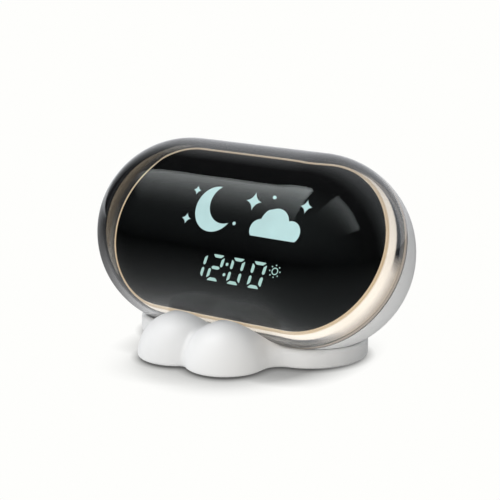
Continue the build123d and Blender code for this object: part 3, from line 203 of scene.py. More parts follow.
# Where Blender's Mix node has its two colours and its mixed colour
FIRST_COLOUR, SECOND_COLOUR, MIXED_COLOUR = 6, 7, 2


class Signal:
    """One output of a node, with arithmetic: an expression on signals adds Math nodes."""

    def __init__(self, nodes, socket):
        self.nodes = nodes
        self.socket = socket

    def math(self, operation, first, second):
        return self.nodes.add("ShaderNodeMath", {"operation": operation}, {0: first, 1: second})

    def __add__(self, other):
        return self.math("ADD", self, other)

    __radd__ = __add__

    def __sub__(self, other):
        return self.math("SUBTRACT", self, other)

    def __rsub__(self, other):
        return self.math("SUBTRACT", other, self)

    def __mul__(self, other):
        return self.math("MULTIPLY", self, other)

    __rmul__ = __mul__

    def __truediv__(self, other):
        return self.math("DIVIDE", self, other)

    def __rtruediv__(self, other):
        return self.math("DIVIDE", other, self)

    def __pow__(self, other):
        return self.math("POWER", self, other)

    def __gt__(self, other):
        return self.math("GREATER_THAN", self, other)

    def __lt__(self, other):
        return self.math("LESS_THAN", self, other)

    def at_most(self, other):
        return self.math("MINIMUM", self, other)

    def at_least(self, other):
        return self.math("MAXIMUM", self, other)

    def along(self, start, end):
        """Share of the way from start to end, not limited."""
        return (self - start) / (end - start)

    def between(self, start, end):
        """Share of the way from start to end, limited to 0 and 1."""
        return self.along(start, end).at_least(0.0).at_most(1.0)

    def centred(self):
        """A value from -1 to 1, brought to 0 to 1."""
        return MIDDLE_SHARE + MIDDLE_SHARE * self


class Nodes:
    """A node tree under construction, of a material, a lamp or the world."""

    def __init__(self, owner):
        owner.use_nodes = True
        self.owner = owner
        self.tree = owner.node_tree
        self.tree.nodes.clear()

    def add(self, kind, settings=None, sockets=None, output=0):
        """Adds a node: its settings first, then its sockets' values or links. Gives one output."""
        node = self.tree.nodes.new(kind)
        for key, value in (settings or {}).items():
            setattr(node, key, value)
        for key, value in (sockets or {}).items():
            if isinstance(value, Signal):
                self.tree.links.new(value.socket, node.inputs[key])
            else:
                node.inputs[key].default_value = value
        return Signal(self, node.outputs[output])

    @staticmethod
    def solid(colour):
        """A colour as a socket takes it: a signal as it is, three numbers with full alpha."""
        return colour if isinstance(colour, Signal) else (*colour, 1.0)

    def place(self):
        """Where a point lies, in the clock's own frame."""
        return self.add("ShaderNodeTexCoord", output="Object")

    def part(self, vector, number):
        """One of a vector's three numbers."""
        return self.add("ShaderNodeSeparateXYZ", None, {0: vector}, number)

    def dot(self, vector, direction):
        """How far a vector reaches along a direction."""
        settings = {"operation": "DOT_PRODUCT"}
        return self.add("ShaderNodeVectorMath", settings, {0: vector, 1: tuple(direction)}, "Value")

    def level(self, direction):
        """How far a point lies along a direction, in the clock's own frame."""
        return self.dot(self.place(), direction)

    def noise(self, size, detail=2.0, stretch=(1.0, 1.0, 1.0)):
        """Cloudy noise from 0 to 1, with patches of about that size in metres."""
        place = self.add("ShaderNodeMapping", None, {"Vector": self.place(), "Scale": stretch})
        return self.add("ShaderNodeTexNoise", None, {"Vector": place, "Scale": 1 / size, "Detail": detail})

    def cells(self, size, feature="F1"):
        """Distance to points scattered about that size apart, or to the edges between them, as a share."""
        sockets = {"Vector": self.place(), "Scale": 1 / size}
        return self.add("ShaderNodeTexVoronoi", {"feature": feature}, sockets, "Distance")

    def open_sky(self, reach, samples, **sockets):
        """Share of the sky that nothing hides within a reach in metres."""
        settings = {"samples": samples}
        return self.add("ShaderNodeAmbientOcclusion", settings, {"Distance": reach, **sockets}, "AO")

    def ray(self, output):
        """What is known of the ray that comes here."""
        return self.add("ShaderNodeLightPath", output=output)

    def ray_kinds(self, extra_steps):
        """What kind of ray comes here, as five signals of 0 or 1: seen by the camera, mirrored, let through,
        one step long at most, and let through at every step. A ray to the world counts one extra step."""
        kinds = [self.ray(f"Is {kind} Ray") for kind in ("Camera", "Glossy", "Transmission")]
        steps, passes = self.ray("Ray Depth"), self.ray("Transmission Depth")
        no_step = extra_steps + MIDDLE_SHARE
        return *kinds, steps < 1 + no_step, steps - passes < no_step

    def mix(self, share, first, second, blend="MIX"):
        """Colour between two colours, or with another blend the two combined."""
        sockets = {0: share, FIRST_COLOUR: self.solid(first), SECOND_COLOUR: self.solid(second)}
        return self.add("ShaderNodeMix", {"data_type": "RGBA", "blend_type": blend}, sockets, MIXED_COLOUR)

    def ramp(self, share, stops):
        """Colour read from a row of stops, each a place from 0 to 1 and a colour."""
        signal = self.add("ShaderNodeValToRGB", None, {0: share})
        elements = signal.socket.node.color_ramp.elements
        while len(elements) < len(stops):
            elements.new(1.0)
        for element, (place, colour) in zip(elements, stops):
            element.position = place
            element.color = self.solid(colour)
        return signal

    def bump(self, height, depth):
        """Normal of a surface raised by the height, whose full range is the depth in metres."""
        return self.add("ShaderNodeBump", None, {"Height": height, "Distance": depth, "Strength": 1.0})

    def plastic(self, colour, sockets):
        """A principled shader with that colour, a signal or three numbers, and other sockets."""
        return self.add("ShaderNodeBsdfPrincipled", None, {"Base Color": self.solid(colour), **sockets})

    def either(self, share, first, second):
        """Shader between two shaders."""
        return self.add("ShaderNodeMixShader", None, {0: share, 1: first, 2: second})

    def show(self, shader, kind="ShaderNodeOutputMaterial"):
        """Sends the shader to the output and gives the owner back."""
        node = self.tree.nodes.new(kind)
        self.tree.links.new(shader.socket, node.inputs["Surface"])
        return self.owner


def finish(name):
    """Nodes of a new material."""
    return Nodes(bpy.data.materials.new(name))


def moulded(name, colour, roughness, grain=MOULD_GRAIN):
    """Moulded plastic: a fine spark-eroded grain and slow, faint changes of tone."""
    pale_share, deep_share, rough_range = 1.02, 0.97, 0.12
    nodes = finish(name)
    tone = nodes.noise(TONE_PATCH)
    fine = nodes.noise(grain, detail=3.0)
    pale = tuple(min(1.0, part) for part in shaded(colour, pale_share))
    shader = nodes.plastic(
        nodes.mix(tone, shaded(colour, deep_share), pale),
        {
            "Roughness": roughness + (fine - MIDDLE_SHARE) * rough_range,
            "Normal": nodes.bump(fine, MOULD_DEPTH),
        },
    )
    return nodes.show(shader)


def brushed(name, colour, roughness, stretch):
    """Plated steel with a faint drawn grain along one direction."""
    deep_share, rough_range = 0.8, 0.2
    nodes = finish(name)
    grain = nodes.noise(DRAWN_GRAIN, detail=4.0, stretch=stretch)
    shader = nodes.plastic(
        nodes.mix(grain, shaded(colour, deep_share), colour),
        {"Metallic": 1.0, "Roughness": roughness + (grain - MIDDLE_SHARE) * rough_range},
    )
    return nodes.show(shader)


def clear_plastic(name, look):
    """Clear polished shell. Its wall is tinted grey where it is seen edge on, a painted shade for its dark
    rim. The lamps' light goes straight through, less a fixed share."""
    haze_roughness, lamp_share = 0.012, 0.92
    nodes = finish(name)
    # Painted shade: the clear wall is greyed where it is seen edge on
    edge = nodes.add("ShaderNodeLayerWeight", None, {"Blend": look.painted_rim_shade_blend}, "Facing")
    haze = nodes.noise(DOME_HAZE, detail=3.0)
    glass = nodes.plastic(
        nodes.mix(edge, WHITE, look.painted_rim_shade),
        {
            "Roughness": haze * haze_roughness,
            "IOR": 1.49,
            "Transmission Weight": 1.0,
            "Specular Tint": nodes.solid(look.dome_shine),
        },
    )
    lamp_light = nodes.solid(shaded(WHITE, lamp_share))
    through = nodes.add("ShaderNodeBsdfTransparent", None, {"Color": lamp_light})
    return nodes.show(nodes.either(nodes.ray("Is Shadow Ray"), glass, through))


def frosted(name, look):
    """Matt edge of the clear shell. On the right it carries a painted glow that stands in for the ring's
    light.
    """
    dark, pale = (0.035, 0.035, 0.037), (0.05, 0.05, 0.052)
    steady_share, speck_share = 0.85, 0.3
    nodes = finish(name)
    speck = nodes.noise(FROST_SPECK)
    right = nodes.level(ACROSS).between(*SEAM_PAINTED_GLOW_RIGHT)
    # Painted glow: emission on the right of the seam, which is no lamp
    light = nodes.mix(right * (steady_share + speck_share * speck), BLACK, look.seam_painted_glow)
    shader = nodes.plastic(
        nodes.mix(speck, dark, pale), {"Roughness": 0.7, "Emission Color": light, "Emission Strength": 1.0}
    )
    return nodes.show(shader)


def smoked_panel(name, look):
    """Black polished window with a very faint haze."""
    deep_share, roughness, haze_roughness = 0.7, 0.05, 0.03
    nodes = finish(name)
    haze = nodes.noise(PANEL_HAZE, detail=3.0)
    shader = nodes.plastic(
        nodes.mix(haze, shaded(look.panel, deep_share), look.panel),
        {"Roughness": roughness + haze * haze_roughness, "Specular IOR Level": 0.15},
    )
    return nodes.show(shader)


def lit_ring(name, look):
    """Milky skirt lit from its rear: amber at the front lip, then cream. The rear half is unlit and polished,
    but at the lower right a painted glow carries its light further back and fades out slowly. Painted shade
    dims it at the crown and puts it out at the upper left."""
    lip_share, cream_share, fading_share = 0.03, 0.14, 0.7
    unlit_shares, slow_share = (0.5, 0.6), 0.45
    dim_from_share, dim_share, crown_painted_shade_share = 0.08, 0.98, 0.3
    metal_share, roughness, polished = 0.9, 0.45, 0.3
    nodes = finish(name)
    depth = nodes.level(OUT).along(HEAD_CENTRE @ OUT + RING_FRONT, HEAD_CENTRE @ OUT + RING_REAR)

    def across(limits):
        return nodes.level(ACROSS).between(*limits)

    def upward(limits):
        return nodes.level(UP).between(*(HEAD_CENTRE @ UP + limits))

    # Painted glow: at the lower right the ring's light reaches further back and fades slowly
    slow = upward(RING_BELOW_PAINTED_GLOW) * upward(RING_ABOVE_PAINTED_GLOW) * across(RING_RIGHT_PAINTED_GLOW)
    lip, cream, rear = (tuple(colour) for colour in (look.ring_lip, look.ring_glow, look.ring_painted_rear))
    front = [(0.0, lip), (lip_share, lip), (cream_share, cream)]
    quick_glow = nodes.ramp(depth, front + list(zip(unlit_shares, (cream, BLACK))))
    painted_slow_glow = nodes.ramp(depth, front + [(slow_share, cream), (fading_share, RING_PAINTED_FADE), (1.0, rear)])
    glow = nodes.mix(slow, quick_glow, painted_slow_glow)
    uneven = nodes.mix(nodes.noise(RING_RIPPLE, detail=1.0), RING_DULL, WHITE)
    # Painted shade: the ring's light is dimmed at the upper left and at the crown
    corner = upward(RING_HIGH_PAINTED_SHADE) * across(RING_LEFT_PAINTED_SHADE) * (depth > dim_from_share) * dim_share
    dimmed = nodes.mix(corner.at_least(upward(RING_CROWN_PAINTED_SHADE) * crown_painted_shade_share), uneven, BLACK)
    polish = depth.between(*unlit_shares) * (1.0 - slow)
    shader = nodes.plastic(
        nodes.mix(polish, look.ring_body, look.ring_polish),
        {
            "Metallic": polish * metal_share,
            "Roughness": roughness - polish * polished,
            "Emission Color": nodes.mix(1.0, glow, dimmed, "MULTIPLY"),
            "Emission Strength": look.ring_strength,
        },
    )
    return nodes.show(shader)


def lit_shape(name, colour):
    """A lit shape of the display, a little uneven as light chips behind a film are."""
    unlit, dim_share = (0.1, 0.12, 0.12), 0.86
    nodes = finish(name)
    patch = nodes.noise(LIGHT_PATCH, detail=1.0)
    light = nodes.mix(patch, shaded(colour, dim_share), colour)
    shader = nodes.plastic(unlit, {"Roughness": 0.35, "Emission Color": light, "Emission Strength": 1.0})
    return nodes.show(shader)


def circuit_board(name):
    """Green board: darker tracks between tinned pads."""
    track_share, pad_share, metal_share = 0.07, 0.16, 0.9
    roughness, pad_polish = 0.45, 0.15
    nodes = finish(name)
    pads = nodes.cells(SOLDER_PITCH) < pad_share
    tracks = nodes.cells(TRACK_PITCH, "DISTANCE_TO_EDGE") < track_share
    mask = nodes.mix(tracks, srgb(24, 92, 58), srgb(14, 66, 42))
    shader = nodes.plastic(
        nodes.mix(pads, mask, srgb(188, 186, 178)),
        {
            "Roughness": roughness - pads * pad_polish,
            "Metallic": pads * metal_share,
            "Normal": nodes.bump(tracks, TRACK_DEPTH),
        },
    )
    return nodes.show(shader)


def rough_matter(name, dark, pale, cell, depth, roughness, metal=0.0):
    """Paper, foam, ferrite or rubber: a cell pattern in tone and height."""
    nodes = finish(name)
    pattern = nodes.cells(cell)
    shader = nodes.plastic(
        nodes.mix(pattern, dark, pale),
        {"Roughness": roughness, "Metallic": metal, "Normal": nodes.bump(pattern, depth)},
    )
    return nodes.show(shader)


def light_under_painted_shadow(nodes):
    """Share of the light that the clock's painted shadow leaves on the floor: the sky near by that is open to
    a surface leaning the way the photograph looks, with an effect that fades in an oval round the stand,
    times a darker line of contact."""
    low, high = (np.array(corner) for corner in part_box("base_shell"))
    middle, half = (low + high) / 2 + SHADOW_SHIFT, (high - low) / 2
    across, back = (
        nodes.level(way).along(middle @ way, middle @ way + half @ way + margin)
        for way, margin in zip(np.eye(3), SHADOW_MARGINS)
    )
    fading = ((across * across + back * back) ** MIDDLE_SHARE).between(*SHADOW_FADE_SHARES)
    lean = (LEAN_SHARE * PHOTO_WAY[0], LEAN_SHARE * PHOTO_WAY[1], RISE_SHARE)
    leaning = nodes.add("ShaderNodeCombineXYZ", None, dict(enumerate(lean)))
    near_sky = nodes.open_sky(SHADOW_REACH, SHADOW_SAMPLES, Normal=leaning)
    crack = nodes.open_sky(CRACK_REACH, SHADOW_SAMPLES)
    return (1.0 - (1.0 - near_sky) * fading) * (CRACK_SHARE + (1.0 - CRACK_SHARE) * crack)


def floor_white(name):
    """White floor. The camera sees plain white with a painted shadow of the clock. The clock mirrors a floor
    that fades with distance, pale at the back left. Through the dome it is dark where the photograph looks,
    and pale aside of that. To any other ray it is matt white, with painted shade where it touches the clock."""
    mirror_share, mirror_power = 0.4, 1.3
    nodes = finish(name)
    seen, mirrored, through, first, straight = nodes.ray_kinds(extra_steps=0)
    far = nodes.add("ShaderNodeVectorMath", {"operation": "LENGTH"}, {0: nodes.place()}, "Value")
    distance = far.at_least(FLOOR_LEAST)
    fade = (mirror_share * (MIRROR_REACH / distance) ** mirror_power).at_most(1.0)
    back = nodes.level((0.0, 1.0, 0.0)).between(*PALE_BACK)
    left = nodes.level((-1.0, 0.0, 0.0)).between(*PALE_LEFT)
    mirror_tone = nodes.mix(back * left * first, nodes.mix(fade, BLACK, WHITE), MIRROR_PALE)
    aside = (nodes.level(PHOTO_WAY) / distance).between(*PALE_SHARES)
    clear_tone = nodes.mix(aside * far.between(*PALE_AWAY), THROUGH_DARK, THROUGH_PALE)
    glass_tone = nodes.mix(through * straight, mirror_tone, clear_tone)
    # Painted shadow: the camera's plain white is darkened round the stand
    backdrop = nodes.mix(seen, glass_tone, nodes.mix(light_under_painted_shadow(nodes), BLACK, FLOOR_WHITE))
    # Painted shade: the matt floor's colour darkens where it touches the clock
    painted_contact_shade = nodes.mix(nodes.open_sky(CONTACT_REACH, CONTACT_SAMPLES), shaded(WHITE, CONTACT_SHARE), WHITE)
    tone = nodes.mix(nodes.noise(FLOOR_GRAIN), FLOOR_DULL, FLOOR_WHITE)
    matt = nodes.plastic(
        nodes.mix(1.0, tone, painted_contact_shade, "MULTIPLY"), {"Roughness": 0.9, "Specular IOR Level": 0.1}
    )
    plain = nodes.add("ShaderNodeEmission", None, {"Color": backdrop, "Strength": 1.0})
    return nodes.show(nodes.either((seen + mirrored + through).at_most(1.0), matt, plain))


def paint(material, *names):
    """Puts a material on CAD nodes."""
    for name in names:
        thing = frame["nodes"][name]
        for slot in thing.material_slots:
            slot.material = material


def circle(centre, radius, count=28):
    """Outline of a circle: the radius turned once round the centre."""
    turn = np.linspace(0, 2 * np.pi, count, endpoint=False)
    return np.array(centre) + radius * np.column_stack((np.cos(turn), np.sin(turn)))


def rounded(outline, corner_share=0.12, rounds=2):
    """Outline with its corners cut back, each time by a share of both sides of every corner."""
    for _ in range(rounds):
        ahead = np.roll(outline, -1, axis=0)
        step = corner_share * (ahead - outline)
        outline = np.stack((outline + step, ahead - step), axis=1).reshape(-1, 2)
    return outline


def prism(outline, low, high):
    """Closed thin solid: an outline, anticlockwise from outside, carried from one level to another."""
    count = len(outline)
    corner = np.arange(count)
    following = np.roll(corner, -1)
    sides = np.column_stack((corner, following, following + count, corner + count))
    points = np.vstack((on_face(outline, low), on_face(outline, high)))
    return points, sides.tolist() + [corner[::-1].tolist(), (corner + count).tolist()]


def hoop(centre, inner, outer, low, high, count=40):
    """Closed flat ring: a rectangle of four corners carried once round a circle."""
    corner = np.arange(4 * count).reshape(4, count)
    ahead = np.roll(corner, -1, axis=1)
    below = np.roll(corner, -1, axis=0)
    faces = np.stack((corner, ahead, np.roll(ahead, -1, axis=0), below), axis=-1).reshape(-1, 4)
    rims = ((outer, low), (outer, high), (inner, high), (inner, low))
    points = np.vstack([on_face(circle(centre, radius, count), level) for radius, level in rims])
    return points, faces.tolist()


def shown(name, points, faces, material):
    """New object at the origin, with a mesh of those points and faces."""
    mesh = bpy.data.meshes.new(name)
    mesh.from_pydata(points.tolist(), [], faces)
    mesh.materials.append(material)
    thing = bpy.data.objects.new(name, mesh)
    bpy.context.scene.collection.objects.link(thing)
    return thing


def piece(name, solids, material, body=CLOCK_BODY):
    """One object made of closed solids, which rides on a body."""
    offsets = np.cumsum([0] + [len(points) for points, _ in solids])
    faces = [
        (np.array(face) + offset).tolist()
        for (_, solid_faces), offset in zip(solids, offsets)
        for face in solid_faces
    ]
    thing = shown(name, np.vstack([points for points, _ in solids]), faces, material)
    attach(thing, body)


def eased(turns, reach=12):
    """The same turn once round, but with every change of pace spread over some steps before and after."""
    paces = np.diff(turns, append=turns[0] + 2 * np.pi)
    window = np.hanning(2 * reach + 3)[1:-1]
    wrapped = np.concatenate((paces[-reach:], paces, paces[:reach]))
    even = np.cumsum(np.convolve(wrapped, window / window.sum(), mode="valid"))
    return even + (turns - even).mean()


def stadium_path(half, arc_steps=120, straight_steps=61):
    """Path once round a stadium, anticlockwise: where each step is centred across, the way it faces and, with
    the joins of straight and bend eased as a moulder polishes them, the way it shines."""
    bend = np.linspace(-np.pi / 2, np.pi / 2, arc_steps, endpoint=False)
    glide = np.linspace(half, -half, straight_steps, endpoint=False)
    level = np.full(straight_steps, np.pi / 2)
    centres = np.concatenate((np.full(arc_steps, half), glide, np.full(arc_steps, -half), -glide))
    turns = np.concatenate((bend, level, bend + np.pi, level + np.pi))
    facing, shining = (np.column_stack((np.cos(turn), np.sin(turn))) for turn in (turns, eased(turns)))
    return centres, facing, shining


def dome_profile(look, steps=70):
    """Closed profile of the dome, as radius and level, from the outer crest over seam and tongue to the inner
    crest. Also the normals at the start and the end of every stretch, radial on both arcs and square to the
    straight ones, and which stretches are matt: seam, tongue and the inner wall's last strip above them."""
    inner_radius = HEAD_RADIUS - look.dome_wall
    seam = -look.seam_setback
    fall = np.linspace(CREST_TURN, np.arccos(seam / HEAD_RADIUS), steps)
    rise = np.linspace(np.arccos(seam / inner_radius), CREST_TURN, steps)
    outer = np.column_stack((np.sin(fall), np.cos(fall)))
    inner = np.column_stack((np.sin(rise), np.cos(rise)))
    tongue_inner = inner_radius * inner[0, 0]
    tongue_outer = tongue_inner + look.tongue_thickness
    tongue_end = seam - look.tongue_length
    corners = np.array(((tongue_outer, seam), (tongue_outer, tongue_end), (tongue_inner, tongue_end)))
    profile = np.vstack((HEAD_RADIUS * outer, corners, inner_radius * inner))
    square = np.array(((0, -1), (1, 0), (0, -1), (-1, 0)))
    starts = np.vstack((outer[:-1], square, -inner[:-1]))
    ends = np.vstack((outer[1:], square, -inner[1:]))
    middles = (profile[:-1, 1] + profile[1:, 1]) / 2
    matt = middles < np.where(np.arange(len(middles)) < steps, seam + TINY, seam + look.frost_height)
    return profile, starts, ends, matt


def dome_solid(look):
    """Points, faces, corner normals and matt faces of the dome: its profile carried round the stadium."""
    centres, facing, shining = stadium_path(DOME_HIGH.x - HEAD_RADIUS)
    profile, starts, ends, matt = dome_profile(look)
    columns = len(centres)
    around = profile[:, 0, None, None] * facing
    around[:, :, 0] += centres
    points = on_face(around.reshape(-1, 2), np.repeat(profile[:, 1], columns)[:, None])
    corner = np.arange(len(points)).reshape(len(profile), columns)
    ahead = np.roll(corner, -1, axis=1)
    quads = np.stack((corner[:-1], corner[1:], ahead[1:], ahead[:-1]), axis=-1).reshape(-1, 4)
    faces = quads.tolist() + [corner[0].tolist(), corner[-1, ::-1].tolist()]

    def turned(way, slopes):
        return slopes[:, None, :1] * (way[:, :1] * ACROSS + way[:, 1:] * UP) + slopes[:, None, 1:] * OUT

    following = np.roll(shining, -1, axis=0)
    rounds = ((shining, starts), (shining, ends), (following, ends), (following, starts))
    sides = np.stack([turned(way, slopes) for way, slopes in rounds], axis=2)
    normals = np.vstack((sides.reshape(-1, 3), np.repeat((OUT, -OUT), columns, axis=0)))
    return points, faces, normals, np.append(np.repeat(matt, columns), (False, False))


# Which bars each digit lights: top, upper right, lower right, bottom, lower left, upper left, middle
DIGIT_BARS = {"0": (0, 1, 2, 3, 4, 5), "1": (1, 2), "2": (0, 1, 6, 4, 3)}


def digit_bars(width, height, bar, gap):
    """Outlines of the seven bars about the digit's centre, mitred where they meet at the corners. The upper
    right bar and half of the top and the middle bar are drawn. The rest is these mirrored or turned."""
    point_share, short_share, long_share = 0.4, 0.35, 1.15
    aside, over, turned = (-1, 1), (1, -1), (-1, -1)
    across, rise = width / 2, height / 2
    inner = across - gap - bar
    top_half = np.array(((inner, rise - bar), (across - gap, rise)))
    middle_half = np.array(((inner, -bar / 2), (across - gap - bar / 2, 0), (inner, bar / 2)))
    upper_right = np.array(
        (
            (across - bar, gap + bar * point_share),
            (across - bar / 2, gap),
            (across, gap + bar * point_share),
            (across, rise - gap - bar * short_share),
            (across - bar, rise - gap - bar * long_share),
        )
    )
    top = np.vstack((top_half, top_half[::-1] * aside))
    middle = np.vstack((middle_half, middle_half * turned))
    lower_right, upper_left = ((upper_right * way)[::-1] for way in (over, aside))
    return top, upper_right, lower_right, top * turned, upper_right * turned, upper_left, middle


def crescent(centre, radius, bite_radius, bite_shift, tilt, count=40):
    """Outline of a crescent: an outer arc, then the arc of a second circle that bites into it."""
    reach = (bite_shift**2 + radius**2 - bite_radius**2) / (2 * bite_shift)
    half = np.arccos(reach / radius)
    bite_half = np.arccos((bite_shift - reach) / bite_radius)
    outer_turn = np.linspace(half, 2 * np.pi - half, count)
    bite_turn = np.linspace(np.pi + bite_half, np.pi - bite_half, count)[1:-1]
    outer = radius * np.column_stack((np.cos(outer_turn), np.sin(outer_turn)))
    bite = bite_radius * np.column_stack((np.cos(bite_turn), np.sin(bite_turn))) + (bite_shift, 0)
    spin = np.array(((np.cos(tilt), np.sin(tilt)), (-np.sin(tilt), np.cos(tilt))))
    return np.array(centre) + np.vstack((outer, bite)) @ spin


def cloud(centre, puffs, floor, count=120):
    """Outline of a cloud: on each ray from the centre the farthest of some circles, cut off at the floor."""
    ray = circle((0.0, 0.0), 1.0, count)
    middles, radii = np.array(puffs)[:, :2], np.array(puffs)[:, 2]
    ahead = ray @ middles.T
    under = radii**2 - (middles**2).sum(axis=1) + ahead**2
    reach = np.where(under > 0, ahead + np.sqrt(np.maximum(under, 0)), 0).max(axis=1)
    steep = np.minimum(ray[:, 1], -TINY)
    return np.array(centre) + ray * np.where(ray[:, 1] < 0, np.minimum(reach, floor / steep), reach)[:, None]


def sparkle(centre, radius, power=3.2, count=48):
    """Outline of a four-pointed star: the curve whose two coordinates are powers of cosine and sine."""
    wave = circle((0.0, 0.0), 1.0, count)
    return np.array(centre) + radius * np.sign(wave) * np.abs(wave) ** power


class ClockLook(bpy.types.PropertyGroup):
    """Colours and sizes of the clock's finishes and display."""

    shell: FloatVectorProperty(
        name="Shell", description="White of back and stand", subtype="COLOR", default=srgb(232, 233, 234)
    )
    button: FloatVectorProperty(
        name="Button", description="White of the push buttons", subtype="COLOR", default=srgb(222, 224, 226)
    )
    # Painted shade on the dome's rim, where it is seen edge on
    painted_rim_shade: FloatVectorProperty(
        name="Dome edge", description="Tint where seen edge on", subtype="COLOR", default=(0.3, 0.31, 0.33)
    )
    painted_rim_shade_blend: FloatProperty(
        name="Dome edge blend", description="How far in the tint reaches", subtype="FACTOR", default=0.25
    )
    dome_shine: FloatVectorProperty(
        name="Dome shine", description="Tint of what it mirrors", subtype="COLOR", default=(0.46, 0.51, 0.51)
    )
    dome_wall: FloatProperty(
        name="Dome wall", description="Wall of the dome", unit="LENGTH", default=0.0025
    )
    seam_setback: FloatProperty(
        name="Seam setback", description="Seam behind the head's axis", unit="LENGTH", default=0.0012
    )
    tongue_thickness: FloatProperty(
        name="Tongue thickness", description="Tongue of the lap joint", unit="LENGTH", default=0.0011
    )
    tongue_length: FloatProperty(
        name="Tongue length", description="Reach of the tongue past the seam", unit="LENGTH", default=0.0025
    )
    frost_height: FloatProperty(
        name="Frost height", description="Matt strip inside, above the seam", unit="LENGTH", default=0.0009
    )
    panel: FloatVectorProperty(
        name="Panel", description="Black of the window", subtype="COLOR", default=(0.0022, 0.0026, 0.0027)
    )
    ring_body: FloatVectorProperty(
        name="Ring body", description="Milky plastic, unlit", subtype="COLOR", default=srgb(226, 220, 208)
    )
    ring_lip: FloatVectorProperty(
        name="Ring lip", description="Light at the front lip", subtype="COLOR", default=srgb(186, 158, 116)
    )
    ring_glow: FloatVectorProperty(
        name="Ring glow", description="Light along the ring", subtype="COLOR", default=srgb(252, 243, 229)
    )
    # End colour of the painted glow at the rear edge, at the lower right
    ring_painted_rear: FloatVectorProperty(
        name="Ring rear", description="Light at the rear edge", subtype="COLOR", default=srgb(132, 124, 114)
    )
    ring_polish: FloatVectorProperty(
        name="Ring polish", description="Tint of the rear half", subtype="COLOR", default=(0.42, 0.47, 0.54)
    )
    ring_strength: FloatProperty(
        name="Ring strength", description="Brightness of the ring's light", default=1.09
    )
    # Painted glow of the seam, standing in for the ring's light
    seam_painted_glow: FloatVectorProperty(
        name="Seam light", description="Light in the dome edge", subtype="COLOR", default=srgb(172, 161, 149)
    )
    digits: FloatVectorProperty(
        name="Digits", description="Light of digits and sun", subtype="COLOR", default=srgb(178, 217, 209)
    )
    picture: FloatVectorProperty(
        name="Picture", description="Light of the picture", subtype="COLOR", default=srgb(192, 228, 228)
    )
    digit_height: FloatProperty(
        name="Digit height", description="Height of a digit", unit="LENGTH", default=0.0116
    )
    digit_width: FloatProperty(
        name="Digit width", description="Width of a digit", unit="LENGTH", default=0.0068
    )
    digit_bar: FloatProperty(
        name="Digit bar", description="Width of a bar", unit="LENGTH", default=0.00138
    )
    digit_gap: FloatProperty(
        name="Digit gap", description="Gap between bars", unit="LENGTH", default=0.0005
    )
    digit_pitch: FloatProperty(
        name="Digit pitch", description="Distance from digit to digit", unit="LENGTH", default=0.0107
    )
    one_shift: FloatProperty(
        name="One shift", description="How far a 1 moves to its neighbour", unit="LENGTH", default=0.0017
    )
    digit_across: FloatProperty(
        name="Digits across", description="Middle of the digits, across", unit="LENGTH", default=-0.0018
    )
    digit_rise: FloatProperty(
        name="Digits rise", description="Middle of the digits, up the face", unit="LENGTH", default=-0.0159
    )
    film: FloatProperty(
        name="Film", description="Thickness of the lit shapes", unit="LENGTH", default=0.00004
    )


class ClockStage(bpy.types.PropertyGroup):
    """Light level and camera of the studio."""

    key_light: FloatProperty(
        name="Key light", description="Brightness of the overhead softbox", default=3.5
    )
    side_light: FloatProperty(
        name="Side light", description="Brightness of the right softbox", default=1.6
    )
    bounce_light: FloatProperty(
        name="Bounce light", description="Brightness of the low front card", default=1.35
    )
    ambient: FloatProperty(name="Ambient", description="Even light from all round", default=1.0)
    lens: FloatProperty(
        name="Lens", description="Focal length in millimetres", unit="CAMERA", default=107.8
    )


class CLOCK_OT_shells(bpy.types.Operator):
    """Give the white shells, the buttons and the pads their finishes"""

    bl_idname = "clock.shells"
    bl_label = "Shells and buttons"

    def execute(self, context):
        look = context.scene.clock_look
        dark, pale = srgb(70, 70, 72), srgb(86, 86, 88)
        paint(moulded("satin_white", look.shell, roughness=0.4), "rear_housing", "base_shell")
        paint(moulded("plate_white", look.shell, roughness=0.5, grain=PLATE_GRAIN), "base_plate")
        paint(moulded("button_satin", look.button, roughness=0.34), *BUTTONS, "snooze_button")
        paint(moulded("knob_black", srgb(42, 43, 45), roughness=0.45), "power_knob")
        rubber = rough_matter("pad_rubber_grey", dark, pale, RUBBER_CELL, RUBBER_DEPTH, roughness=0.85)
        paint(rubber, "foot_pads")
        return {"FINISHED"}


class CLOCK_OT_front(bpy.types.Operator):
    """Make the clear dome, and give the black window and the light ring their finishes"""

    bl_idname = "clock.front"
    bl_label = "Dome, window and ring"

    def execute(self, context):
        look = context.scene.clock_look
        points, faces, normals, matt = dome_solid(look)
        dome = shown("clear_dome", points, faces, clear_plastic("clear_plastic", look))
        dome.data.polygons.foreach_set("use_smooth", np.ones(len(faces), bool))
        dome.data.normals_split_custom_set(normals.tolist())
        dome.data.materials.append(frosted("seam_frost", look))
        dome.data.polygons.foreach_set("material_index", matt.astype(np.int32))
        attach(dome, CLOCK_BODY)
        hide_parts("front_dome")
        paint(smoked_panel("smoked_window", look), "face_panel")
        paint(lit_ring("milky_ring_light", look), "light_ring")
        return {"FINISHED"}


